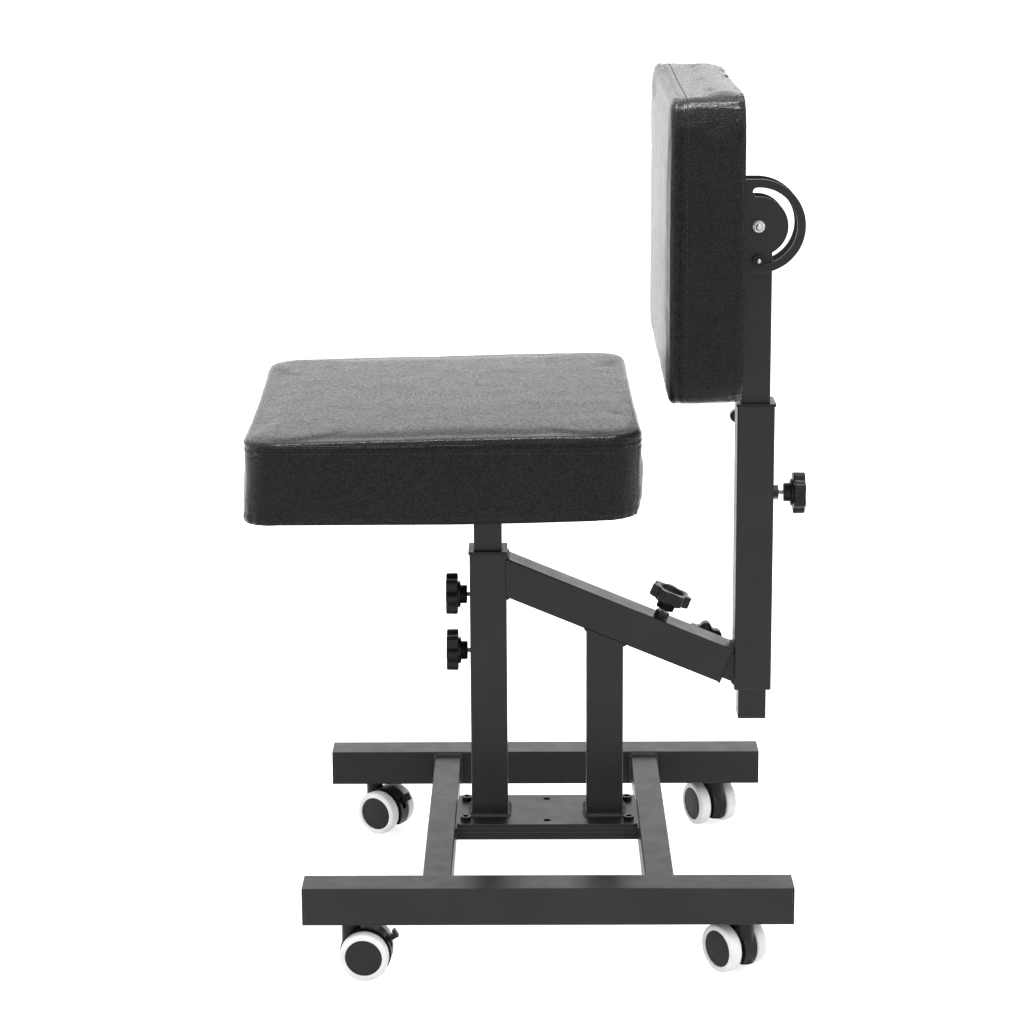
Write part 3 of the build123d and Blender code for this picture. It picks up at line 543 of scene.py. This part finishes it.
def make_cover(name, width, height, depth, corner, rise, seed, shape):
    rim = outline(width, height, corner, PULL_IN, 400)
    cover = slab(name, rim, depth, TOP_EDGE, BOTTOM_EDGE)
    remesh = cover.modifiers.new("Remesh", "REMESH")
    remesh.mode = "VOXEL"
    remesh.voxel_size = VOXEL
    applied(cover)
    held = get_points(cover.data)[:, 2] < BOTTOM_EDGE
    inflate(cover, held, PRESSURE, MOST_MOVED)
    cover.modifiers.new("Smooth", "SMOOTH").iterations = 1
    cover.modifiers.new("Subdivision", "SUBSURF").levels = 1
    cover.modifiers["Subdivision"].render_levels = 1
    applied(cover)
    points = get_points(cover.data)
    normals = get_normals(cover.data)
    crown(points, width, height, depth, rise)
    wrinkled(points, normals, WRINKLES, seed)

    # Seam and stitch grooves on the side walls
    on_side = np.clip(1.6 * np.linalg.norm(normals[:, :2], axis=1) - 0.3, 0, 1)
    for level, size in ((depth - SEAM_DROP, SEAM_GROOVE),
                        (depth - SEAM_DROP - STITCH_DROP, STITCH_GROOVE),
                        (BOARD_LINE, BOARD_GROOVE)):
        groove = band(points, level, size) * on_side
        points[:, :2] -= normals[:, :2] * groove[:, None]
    # Soft roll between the seam and the top panel
    roll = band(points, depth - ROLL_DROP, TOP_ROLL) * on_side
    points[:, :2] += normals[:, :2] * roll[:, None]

    # Pleats where the vinyl is gathered round the lower corners
    corner_x, corner_y = width / 2 - corner, height / 2 - corner
    dx = np.abs(points[:, 0]) - corner_x
    dy = np.abs(points[:, 1]) - corner_y
    in_corner = (dx > 0) & (dy > 0)
    angle = np.arctan2(dy, dx)
    low = np.clip(1 - points[:, 2] / PLEAT_HEIGHT, 0, 1) ** 1.5
    fade = np.sin(2 * np.clip(angle, 0, math.pi / 2))
    pleat = PLEAT * np.cos(angle * 18.0) * low * on_side * fade
    points[:, :2] += normals[:, :2] * np.where(in_corner, pleat, 0.0)[:, None]

    # Underside: a turned hem round the rim, and the rest drawn up inside the board
    under = normals[:, 2] < -0.6
    inset_x = width / 2 - np.abs(points[:, 0])
    inset_y = height / 2 - np.abs(points[:, 1])
    outside_corner = np.hypot(np.maximum(corner - inset_x, 0), np.maximum(corner - inset_y, 0))
    from_rim = np.where((inset_x < corner) & (inset_y < corner), corner - outside_corner,
                        np.minimum(inset_x, inset_y))
    ragged = HEM + RAGGED * np.sin(points[:, 0] * 47.0) * np.sin(points[:, 1] * 39.0 + seed)
    rise_in = np.clip((from_rim - ragged) / HEM_SLOPE, 0, 1)
    points[:, 2] = np.where(under, -HEM_DROP + (HOLLOW + HEM_DROP) * rise_in, points[:, 2])
    shape(points)
    set_points(cover.data, points)
    return cover


def surface_tree(obj):
    mesh = obj.data
    return BVHTree.FromPolygons([v.co for v in mesh.vertices],
                                [p.vertices for p in mesh.polygons])


def rim_path(tree, width, height, corner, level, count):
    """Frames of a line round the cushion's side at a level: (point, direction, surface normal)."""
    found = []
    for point, normal in outline(width, height, corner, 0.0, count):
        out = Vector((normal.x, normal.y, 0))
        origin = Vector((point.x, point.y, level)) + out * 0.05
        hit = tree.ray_cast(origin, -out)
        found.append((hit[0], hit[1] if hit[1].dot(out) > 0 else -hit[1]))
    path = []
    for i, (point, normal) in enumerate(found):
        before, after = found[i - 1], found[(i + 1) % count]
        smooth = (point * 2 + before[0] + after[0]) / 4
        facing = (normal + before[1] + after[1]).normalized()
        path.append((smooth, (after[0] - before[0]).normalized(), facing))
    return path


def seam_welt(name, path):
    """Two small rolls side by side, where the panels are sewn together."""
    section = [(-0.0021, -0.0010), (-0.0017, 0.0003), (-0.0010, 0.00085), (-0.0004, 0.0005),
               (0.0, -0.0003), (0.0004, 0.0004), (0.0010, 0.0006), (0.0017, 0.0001),
               (0.0021, -0.0010)]
    frames = [(p, n.cross(t).normalized(), n) for p, t, n in path]
    return sweep(name, frames, lambda i: section, True)


def stitch_row(name, path, spacing):
    """Short thread stitches laid end to end along a path."""
    parts = []
    points = [p for p, t, n in path]
    steps = [(points[(i + 1) % len(points)] - p).length for i, p in enumerate(points)]
    reach = np.concatenate([[0.0], np.cumsum(steps)])
    count = int(reach[-1] / spacing)
    sides = 8
    for k in range(count):
        at = reach[-1] * (k + 0.5) / count
        i = int(np.searchsorted(reach, at) - 1) % len(points)
        middle = points[i].lerp(points[(i + 1) % len(points)], (at - reach[i]) / steps[i])
        along, out = path[i][1], path[i][2]
        across = out.cross(along).normalized()
        rings = []
        for j in range(5):
            u = j / 4 - 0.5
            lift = 0.00055 * (1 - (2 * u) ** 2) - 0.0002
            size = STITCH_R * (1 - 0.45 * abs(2 * u) ** 3)
            rings.append((middle + along * (u * STITCH_LENGTH) + out * lift, size))
        frames = [(p, across, out) for p, r in rings]
        parts.append(sweep("stitch", frames, lambda j: [
            (rings[j][1] * math.cos(2 * math.pi * q / sides),
             rings[j][1] * math.sin(2 * math.pi * q / sides)) for q in range(sides)], False))
    return join(name, parts)


def board(node, body, place, width, height, corner, shape):
    """Plywood board of a cushion, cut to follow its cover, in place of the CAD board."""
    rim = outline(width - 2 * BOARD_INSET, height - 2 * BOARD_INSET, corner - BOARD_INSET, 0.0, 160)
    panel = slab(node + "_panel", rim, BOARD_T, 0.0005, 0.0005)
    points = get_points(panel.data)
    shape(points)
    set_points(panel.data, points)
    panel.data.transform(place)
    panel.data.update()
    sharpen(panel, 40)
    finish_piece(panel, body, "plywood", (node,))


def cushion(prefix, body, node, place, width, height, depth, corner, rise, seed, shape):
    """Cover, seam and stitches of one cushion, replacing its CAD solid."""
    cover = make_cover(prefix + "_cover", width, height, depth, corner, rise, seed, shape)
    tree = surface_tree(cover)
    seam = seam_welt(prefix + "_seam",
                     rim_path(tree, width, height, corner, depth - SEAM_DROP, 500))
    stitch = stitch_row(prefix + "_stitches",
                        rim_path(tree, width, height, corner, depth - SEAM_DROP - STITCH_DROP,
                                 700), STITCH_PITCH)
    for obj in (cover, seam, stitch):
        obj.data.transform(place)
        obj.data.update()
    finish_piece(cover, body, "black_leather", (node,))
    finish_piece(seam, body, "black_leather")
    finish_piece(stitch, body, "black_leather", material=THREAD)
    board(prefix + "_board", body, place, width, height, corner, shape)


SEAT_LEAN = 0.020      # how much higher the seat's far edge stands than its near edge
LEAN_PIVOT = 0.2       # where its top keeps the CAD height, as a share of the way to the far side
SEAT_ROLL = 0.02       # slope of its top, up to the right
SEAT_SKEW = 0.016      # how far its far side shifts to the left, as a share of its depth
SEAT_SPREAD = 1.018    # fullness of its left and right sides
SEAT_FLARE = 0.010     # how far its lower near left corner spreads
SEAT_HEEL = 0.006      # how far its lower right edge lifts
PAD_LEAN, PAD_LEAN_MORE = 0.018, 0.018     # slope of the pad's cover at its board, and beyond
PAD_TOP_RISE = 0.004   # fullness of the pad's top edge
SEAT_DEPTH, PAD_DEPTH = 0.112, 0.091       # board and foam together
SEAT_CORNER, PAD_CORNER, CROWN = 0.046, 0.040, 0.003       # corner radii, and the tops' rise
SEAT_LEAN_IN = 0.003   # how far its right side leans in towards the board
SEAT_WAIST = 0.0025    # how far its left side pulls in halfway up
SEAT_HALF, PAD_HALF_HEIGHT = 0.25, 0.19    # half the seat's width, half the pad's height
SIDE_FROM = 0.15       # where a side's own changes of shape begin, from the middle
FLARE_FROM, FLARE_OVER = 0.2, 0.05         # where the corner's spread begins, and over how much
PAD_BELLY = 0.0015     # how far the pad's sides stand out halfway down


def seat_shape(points):
    """The seat's right side leans in towards the board and lifts a little, its left side has a
    waist and its lower near corner there spreads, and its foam stands higher along the far side
    and to the right."""
    low = np.clip(1 - points[:, 2] / SEAT_DEPTH, 0, 1)
    to_far = np.clip(points[:, 1] / (2 * SEAT_HALF) + 0.5, 0, 1)
    raised = SEAT_LEAN * (to_far - LEAN_PIVOT) + SEAT_ROLL * points[:, 0]
    points[:, 2] += raised * (1 - low) ** 1.5
    points[:, 0] = points[:, 0] * SEAT_SPREAD - SEAT_SKEW * 0.5 * to_far
    right = np.clip((points[:, 0] - SIDE_FROM) / (SEAT_HALF - SIDE_FROM), 0, 1)
    left = np.clip((-points[:, 0] - SIDE_FROM) / (SEAT_HALF - SIDE_FROM), 0, 1)
    points[:, 0] -= SEAT_LEAN_IN * low * right
    waist = np.sin(np.pi * np.clip(points[:, 2] / SEAT_DEPTH, 0, 1))
    points[:, 0] += SEAT_WAIST * waist * left
    points[:, 1] *= 1 - 0.004 * low
    near_left = np.clip((-points[:, :2] - FLARE_FROM) / FLARE_OVER, 0, 1)
    points[:, :2] -= (SEAT_FLARE * low * np.prod(near_left, axis=1))[:, None]
    points[:, 2] += SEAT_HEEL * low * np.clip(points[:, 0] / SEAT_HALF, 0, 1) ** 1.5


def pad_shape(points):
    """The pad is fuller halfway down its sides, and its cover sits a little low on the near side
    and high on the far one."""
    low = np.clip(1 - points[:, 2] / PAD_DEPTH, 0, 1)
    points[:, 1] -= points[:, 0] * (PAD_LEAN + PAD_LEAN_MORE * (1 - low))
    points[:, 1] += PAD_TOP_RISE * np.clip(points[:, 1] / PAD_HALF_HEIGHT, 0, 1)
    belly = np.sin(np.pi * low) * PAD_BELLY
    size = np.maximum(np.linalg.norm(points[:, :2], axis=1, keepdims=True), 1e-6)
    points[:, :2] += points[:, :2] / size * belly[:, None]


seat_lo, seat_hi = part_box("seat_cushion")
board_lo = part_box("seat_board")[0]
seat_place = Matrix.Translation(((seat_lo.x + seat_hi.x) / 2, (seat_lo.y + seat_hi.y) / 2,
                                 board_lo.z))
cushion("seat", "seat", "seat_cushion", seat_place, seat_hi.x - seat_lo.x, seat_hi.y - seat_lo.y,
        seat_hi.z - board_lo.z, SEAT_CORNER, CROWN, 1.7, seat_shape)

pad_lo, pad_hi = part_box("pad_cushion")
pad_board_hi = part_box("pad_board")[1]
# Local X runs along -Y, local Y up, and local Z out of the board towards the seat
pad_turn = Matrix(((0, 0, -1, pad_board_hi.x), (-1, 0, 0, (pad_lo.y + pad_hi.y) / 2),
                   (0, 1, 0, (pad_lo.z + pad_hi.z) / 2), (0, 0, 0, 1)))
cushion("pad", "pad", "pad_cushion", pad_turn, pad_hi.y - pad_lo.y, pad_hi.z - pad_lo.z,
        pad_board_hi.x - pad_lo.x, PAD_CORNER, CROWN, 4.3, pad_shape)

# ---------------------------------------------------------------- star knobs

LOBES = 7
LOBE_SIZE, STAR_WAIST, CUP_SIZE = 0.27, 0.82, 0.58     # shares of the knob's radius
RIBS_PER_LOBE = 9
THREAD_PITCH, THREAD_DEPTH = 0.001, 0.00035


def star_radius(radius, angle, ribs=0.0):
    """Outline of a seven-lobed knob, its lobes blended into the waist."""
    centre, lobe = radius * (1 - LOBE_SIZE), radius * LOBE_SIZE
    step = 2 * math.pi / LOBES
    turn = (angle + step / 2) % step - step / 2
    reach = lobe ** 2 - (centre * math.sin(turn)) ** 2
    edge = centre * math.cos(turn) + math.sqrt(reach) if reach > 0 else 0.0
    waist = radius * STAR_WAIST
    soft = radius * 0.035
    blended = soft * math.log(math.exp(edge / soft - 20) + math.exp(waist / soft - 20)) + 20 * soft
    share = max(0.0, min(1.0, (blended - waist) / (radius - waist)))
    rib = ribs * abs(math.sin(turn / step * math.pi * RIBS_PER_LOBE)) * share
    return min(blended, radius) - rib


def star_knob(name, node, origin, axis, hub_from, head_from, head_to, radius, hub):
    """Moulded knob. Distances run along the axis from the origin."""
    matrix = axis_matrix(origin, axis)
    ribs = radius * 0.014

    def star(inset, rib=0.0):
        return lambda angle: star_radius(radius, angle, rib) - inset

    def ring(share):
        return radius * share

    edge = radius * 0.065
    height = head_to - head_from
    layers = [
        (hub_from, 0.0), (hub_from, hub * 0.62), (hub_from, hub - 0.0008),
        (hub_from + 0.0008, hub), (head_from - 0.0042, hub * 1.02),
        (head_from - 0.0040, hub * 1.04), (head_from - 0.0034, ring(0.60)),
        (head_from - 0.0028, ring(0.62)), (head_from - 0.0003, ring(0.63)),
        (head_from, ring(0.645)), (head_from, star(edge)),
        (head_from + edge * 0.3, star(edge * 0.3)), (head_from + edge, star(0.0)),
    ]
    for k in range(5):
        layers.append((head_from + edge + (height - 2 * edge) * (k + 0.5) / 5,
                       star(0.0002 * k / 4, ribs)))
    layers += [
        (head_to - edge, star(0.0002)), (head_to - edge * 0.35, star(edge * 0.25)),
        (head_to - edge * 0.08, star(edge * 0.62)), (head_to, star(edge * 1.15)),
        (head_to, ring(CUP_SIZE + 0.05)), (head_to - 0.0004, ring(CUP_SIZE + 0.02)),
        (head_to - 0.0012, ring(CUP_SIZE)), (head_to - height * 0.5, ring(CUP_SIZE - 0.06)),
        (head_to - height * 0.54, ring(CUP_SIZE - 0.1)),
        (head_to - height * 0.54, ring(0.24)), (head_to - height * 0.5, ring(0.22)),
        (head_to - height * 0.34, ring(0.2)), (head_to - height * 0.31, ring(0.17)),
        (head_to - height * 0.3, 0.0),
    ]
    knob = lathe(name, matrix, layers, LOBES * 40)
    sharpen(knob, 50)
    return finish_piece(knob, node, "black_plastic", (node,))


def threaded(name, body, matrix, start, end, radius):
    """Zinc-plated stud with a real thread along its whole length."""
    layers = [(start, 0.0)]
    steps = max(8, int((end - start) / THREAD_PITCH * 6))
    for k in range(steps + 1):
        height = start + (end - start) * k / steps

        def thread(angle, height=height):
            phase = (height / THREAD_PITCH - angle / (2 * math.pi)) % 1.0
            return radius - THREAD_DEPTH * abs(2 * phase - 1)

        layers.append((height, thread))
    layers.append((end, 0.0))
    stud = lathe(name, matrix, layers, 24)
    return finish_piece(stud, body, "zinc")


HUB_LENGTH, KNOB_HEAD, NUT_H = 0.0125, 0.016, 0.008
KNOB_R, STUD_R, HUB_SIZE = 0.029, 0.003, 0.43
STUD_END = 0.0055      # the stud's end, behind the tube's face
# Knob, its radius, the height of the nut that it screws into, and the bare stud beyond that
KNOBS = [
    ("seat_knob_upper", KNOB_R, 0.0, 0.004),
    ("seat_knob_lower", KNOB_R, 0.0, 0.004),
    ("boom_knob_top", KNOB_R, NUT_H, 0.004),
    ("boom_knob_side", KNOB_R, NUT_H, 0.004),
    ("back_knob_rear", KNOB_R, NUT_H, 0.007),
    ("back_knob_side", KNOB_R, NUT_H, 0.007),
    ("tilt_lock_knob", 0.015, 0.0, 0.0005),
]
JOINT_OF = {joint["child"]: joint for joint in frame["joints"]}

for knob, knob_r, nut_h, bare in KNOBS:
    joint = JOINT_OF[knob]
    hub_from = nut_h + bare
    head_from = hub_from + HUB_LENGTH
    star_knob(knob + "_star", knob, joint["pos_m"], joint["axis"], hub_from, head_from,
              head_from + KNOB_HEAD, knob_r, knob_r * HUB_SIZE)
    if knob != "tilt_lock_knob":
        threaded(knob + "_stud", knob, axis_matrix(joint["pos_m"], joint["axis"]), -STUD_END,
                 hub_from + 0.004, STUD_R)

# The lock knob's stud is fixed in the bushes, so it rides on the sliding post
stud_lo, stud_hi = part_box("tilt_lock_stud")
stud_start = Vector(((stud_lo.x + stud_hi.x) / 2, stud_lo.y, (stud_lo.z + stud_hi.z) / 2))
lock_stud = threaded("tilt_lock_thread", "lift", axis_matrix(stud_start, (0, 1, 0)), 0.0,
                     stud_hi.y - stud_lo.y, STUD_R)
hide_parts("tilt_lock_stud")

# ---------------------------------------------------------------- pivot bolt

BOLT_R, WASHER_R, HEX_FLAT = 0.004, 0.008, 0.0065
WASHER_T, BOLT_NUT_H, HEX_CHAMFER = 0.0015, 0.0065, 0.0006


def hexed(limit):
    """Outline of a hexagon whose corners are cut back to a limit."""
    sixth = math.pi / 3
    return lambda angle: min(limit, HEX_FLAT / math.cos((angle + sixth / 2) % sixth - sixth / 2))


def hex_layers(start, end):
    """Layers of a hexagonal block with chamfered corners."""
    corner = HEX_FLAT / math.cos(math.pi / 6)
    return [(start, hexed(HEX_FLAT)), (start + HEX_CHAMFER, hexed(corner)),
            (end - HEX_CHAMFER, hexed(corner)), (end, hexed(HEX_FLAT))]


def pivot_bolt():
    """Bolt through the tilt bracket: head and washer on the far side, washer and nut on the near
    one, with a little thread beyond the nut."""
    bolt_lo, bolt_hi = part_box("pivot_bolt")
    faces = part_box("bracket_plates")
    pivot = JOINT_OF["pad"]["pos_m"]
    near, far = pivot[1] - faces[0].y, pivot[1] - faces[1].y
    near_end, far_end = pivot[1] - bolt_lo.y, pivot[1] - bolt_hi.y
    nut_from = near + WASHER_T + 0.0001
    layers = [(far_end, 0.0)] + hex_layers(far_end, far - WASHER_T)
    layers += [(far - WASHER_T, WASHER_R), (far, WASHER_R), (far, BOLT_R), (near, BOLT_R),
               (near + 0.0001, WASHER_R), (nut_from, WASHER_R)]
    layers += hex_layers(nut_from, nut_from + BOLT_NUT_H)
    layers += [(nut_from + BOLT_NUT_H, BOLT_R + 0.0009), (nut_from + BOLT_NUT_H - 0.0006, BOLT_R),
               (near_end - 0.0007, BOLT_R), (near_end, BOLT_R - 0.0007), (near_end, 0.0)]
    bolt = lathe("pivot_bolt_set", axis_matrix(pivot, (0, -1, 0)), layers, 96)
    sharpen(bolt, 25)
    finish_piece(bolt, "lift", "zinc", ("pivot_bolt",))


pivot_bolt()

# ---------------------------------------------------------------- casters

WHEEL_R, WHEEL_W, DISC_R = 0.032, 0.018, 0.024
WHEEL_Y = 0.0215       # from the caster's middle to a wheel's middle
SHOULDER = 0.0022      # drop of the tread towards the tyre's sides


def wheel(body):
    """Grey tyre with a rounded tread, and the dark disc set into it."""
    joint = JOINT_OF[body]
    side = -1 if body.endswith("a") else 1
    out = Vector(joint["axis"]) * side
    matrix = axis_matrix(Vector(joint["pos_m"]) + out * WHEEL_Y, out)
    half = WHEEL_W / 2
    tread = [(half * math.sin(a), WHEEL_R - SHOULDER * (1 - math.cos(a)))
             for a in np.linspace(-0.9, 0.9, 9)]
    tyre_layers = (
        [(-half, DISC_R), (-half, DISC_R + 0.0012), (-half + 0.0002, WHEEL_R - 0.0042),
         (-half + 0.0008, WHEEL_R - SHOULDER)] + tread
        + [(half - 0.0008, WHEEL_R - SHOULDER), (half - 0.0002, WHEEL_R - 0.0042),
           (half, DISC_R + 0.0012), (half - 0.0003, DISC_R + 0.0004), (half - 0.0016, DISC_R)])
    tyre = lathe(body + "_tyre", matrix, tyre_layers, 96, looped=True)
    finish_piece(tyre, body, "pale_tyre", (body,))
    face = half - 0.0015
    disc_layers = [
        (-half + 0.0015, 0.0), (-half + 0.0015, DISC_R), (face - 0.0006, DISC_R),
        (face - 0.0002, DISC_R - 0.0002), (face, DISC_R - 0.0008), (face, 0.0)]
    disc = lathe(body + "_disc", matrix, disc_layers, 72)
    sharpen(disc, 40)
    finish_piece(disc, body, "black_plastic", material=MATERIALS["dark_disc"])


for body_name in frame["bodies"]:
    if body_name.endswith(("wheel_a", "wheel_b")):
        wheel(body_name)

# ---------------------------------------------------------------- welds

BEAD_PITCH, WELD_STEP = 0.0024, 0.0006     # between ripples, and between a bead's sections


def weld(name, path, leg, closed):
    """Rippled fillet bead. Its frames lie in the corner, with side along one face and up along
    the other."""
    def section(i):
        origin = path[i][0]
        drift = 1 + 0.2 * noise.noise(origin * 110.0)
        ripple = 1 + 0.09 * math.sin(2 * math.pi * i * WELD_STEP / BEAD_PITCH)
        size = leg * drift
        bulge = leg * 0.74 * drift * ripple
        points = [(-leg * 0.2, -leg * 0.2), (size, -leg * 0.2), (size, 0.0)]
        for k in range(1, 6):
            a = math.pi / 2 * k / 6
            points.append((bulge * math.cos(a) ** 0.8, bulge * math.sin(a) ** 0.8))
        points += [(0.0, size), (-leg * 0.2, size)]
        return points
    return sweep(name, path, section, closed)


def square_weld(name, centre, out_a, out_b, up, size_a, size_b, radius, leg):
    """Bead round the foot of a rectangular tube. out_a and out_b span the face it stands on."""
    length = 2 * (size_a + size_b)
    path = []
    for point, normal in outline(size_a, size_b, radius, 0.0, int(length / WELD_STEP)):
        origin = centre + out_a * point.x + out_b * point.y
        path.append((origin, out_a * normal.x + out_b * normal.y, up))
    return weld(name, path, leg, True)


def straight_weld(name, start, end, side, up, leg):
    """Straight bead whose ends taper off."""
    count = int((end - start).length / WELD_STEP)
    path = []
    for i in range(count + 1):
        share = i / count
        fade = min(1.0, 12 * min(share, 1 - share) + 0.35)
        path.append((start.lerp(end, share), side * fade, up * fade))
    return weld(name, path, leg, False)


X, Y, Z = Vector((1, 0, 0)), Vector((0, 1, 0)), Vector((0, 0, 1))
TUBE, INNER = 0.050, 0.038
TUBE_R, INNER_R = 0.0025, 0.002
mast_lo, mast_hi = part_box("front_mast")
strut_lo, strut_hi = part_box("strut")
plate_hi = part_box("mast_plate")[1]
LEG = 0.0052           # leg of the fillet beads

base_beads = []
for lo in (mast_lo, strut_lo):
    foot = Vector((lo.x + TUBE / 2, MIDDLE_Y, plate_hi.z))
    base_beads.append(square_weld("bead", foot, X, Y, Z, TUBE, TUBE, TUBE_R, LEG))
for rail in ("cross_rail_left", "cross_rail_right"):
    lo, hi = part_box(rail)
    middle_x, middle_z = (lo.x + hi.x) / 2, (lo.z + hi.z) / 2
    for end_y, inward in ((lo.y, Y), (hi.y, -Y)):
        base_beads.append(square_weld("bead", Vector((middle_x, end_y, middle_z)), X, Z, inward,
                                      INNER, INNER, INNER_R, LEG * 0.9))
bridge_lo, bridge_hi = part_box("base_bridge")
BRIDGE_INSET, BRIDGE_FLANGE_H = 0.004, 0.0115      # the bridge's side walls, under its top plate
for end_x, out_x in ((bridge_lo.x, X), (bridge_hi.x, -X)):
    for flange_y, out_y in ((bridge_lo.y + BRIDGE_INSET, -Y), (bridge_hi.y - BRIDGE_INSET, Y)):
        low = Vector((end_x, flange_y, bridge_lo.z + 0.001))
        base_beads.append(straight_weld("bead", low, low + Z * (BRIDGE_FLANGE_H - 0.0015),
                                        out_x, out_y, 0.0038))

BOOM = Vector(JOINT_OF["reach"]["axis"]).normalized()
BOOM_UP = Vector((-BOOM.z, 0, BOOM.x))
BOOM_ROOT = Vector(JOINT_OF["boom_knob_top"]["pos_m"]) - BOOM_UP * (TUBE / 2)


def along_boom(x, up):
    """Point on a line parallel to the boom's axis, at a given X."""
    return BOOM_ROOT + BOOM_UP * up + BOOM * ((x - BOOM_ROOT.x - BOOM_UP.x * up) / BOOM.x)


HALF = TUBE / 2 - 0.002        # half the length of a bead across a tube
for corner, side, up in (
        (along_boom(mast_hi.x, TUBE / 2), BOOM, Z), (along_boom(mast_hi.x, -TUBE / 2), BOOM, -Z),
        (along_boom(strut_lo.x, -TUBE / 2), -BOOM, -Z),
        (along_boom(strut_hi.x, -TUBE / 2), BOOM, -Z)):
    base_beads.append(straight_weld("bead", corner - Y * HALF, corner + Y * HALF, side, up, LEG))
finish_piece(join("base_welds", base_beads), "base", "frame_paint", ("frame_welds",))

post_lo, post_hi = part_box("seat_post")
seat_bead = square_weld("seat_bead", Vector(((post_lo.x + post_hi.x) / 2, MIDDLE_Y, post_hi.z)),
                        X, Y, -Z, INNER, INNER, INNER_R, LEG)
finish_piece(seat_bead, "seat", "frame_paint", ("seat_welds",))

back_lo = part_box("back_mast")[0]
slide_half = INNER / 2 - 0.002
reach_beads = []
for up_sign, leg in ((-1, LEG), (1, 0.0022)):
    corner = along_boom(back_lo.x, up_sign * INNER / 2)
    reach_beads.append(straight_weld("bead", corner - Y * slide_half, corner + Y * slide_half,
                                     -BOOM, Z * up_sign, leg))
finish_piece(join("reach_welds", reach_beads), "reach", "frame_paint", ("back_welds",))

pad_plate_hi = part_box("pad_plate")[1]
bracket_lo, bracket_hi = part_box("bracket_plates")
pad_beads = []
for face_y, out_y in ((bracket_lo.y, -Y), (bracket_hi.y, Y)):
    low = Vector((pad_plate_hi.x, face_y, bracket_lo.z + 0.004))
    high = Vector((pad_plate_hi.x, face_y, bracket_hi.z - 0.004))
    pad_beads.append(straight_weld("bead", low, high, X, out_y, 0.0042))
finish_piece(join("pad_welds", pad_beads), "pad", "frame_paint", ("bracket_welds",))

# ---------------------------------------------------------------- floor, light and camera


def floor():
    """Plain pale floor under the object."""
    steps = 24
    size = 14.0
    verts = [((i / steps - 0.5) * size, (j / steps - 0.5) * size, 0.0)
             for j in range(steps + 1) for i in range(steps + 1)]
    row = steps + 1
    faces = [(j * row + i, j * row + i + 1, (j + 1) * row + i + 1, (j + 1) * row + i)
             for j in range(steps) for i in range(steps)]
    plane = object_from("studio_floor", verts, faces)
    material, _, shader, _ = new_material("studio_floor", (0.45, 0.45, 0.45), 0.7)
    shader.inputs["Emission Color"].default_value = (1, 1, 1, 1)
    shader.inputs["Emission Strength"].default_value = 0.75
    plane.data.materials.append(material)


def area_light(name, location, target, size, power):
    light = bpy.data.lights.new(name, "AREA")
    light.shape = "RECTANGLE"
    light.size, light.size_y = size
    light.energy = power
    obj = bpy.data.objects.new(name, light)
    obj.location = location
    obj.rotation_euler = (Vector(target) - Vector(location)).to_track_quat("-Z", "Y").to_euler()
    bpy.context.scene.collection.objects.link(obj)


def world_light(strength):
    world = bpy.data.worlds.new("studio")
    world.use_nodes = True
    background = world.node_tree.nodes["Background"]
    background.inputs["Color"].default_value = (1, 1, 1, 1)
    background.inputs["Strength"].default_value = strength
    bpy.context.scene.world = world


def photo_camera():
    """The photograph's viewpoint: level with the seat, square on, looking slightly down."""
    camera = bpy.data.cameras.new("camera")
    camera.sensor_width = 36.0
    camera.lens = 92.6
    camera.shift_x, camera.shift_y = 0.01607, -0.0605
    camera.clip_start, camera.clip_end = 0.05, 60.0
    obj = bpy.data.objects.new("camera", camera)
    turn = (Matrix.Rotation(0.0141, 4, "Z") @ Matrix.Rotation(math.radians(90 - 12.296), 4, "X")
            @ Matrix.Rotation(-0.0077, 4, "Z"))
    obj.matrix_world = Matrix.Translation((-0.00273, -3.48045, 1.39243)) @ turn
    bpy.context.scene.collection.objects.link(obj)
    bpy.context.scene.camera = obj


floor()
world_light(1.9)
area_light("top", (0.0, 0.1, 3.0), (0.0, 0.0, 0.5), (1.4, 0.5), 90)
area_light("left", (-3.0, -0.8, 1.6), (0.0, 0.0, 0.6), (0.8, 2.2), 30)
area_light("right", (3.0, -1.2, 1.8), (0.0, 0.0, 0.6), (0.8, 2.2), 20)
photo_camera()
bpy.context.scene.view_settings.view_transform = "Standard"
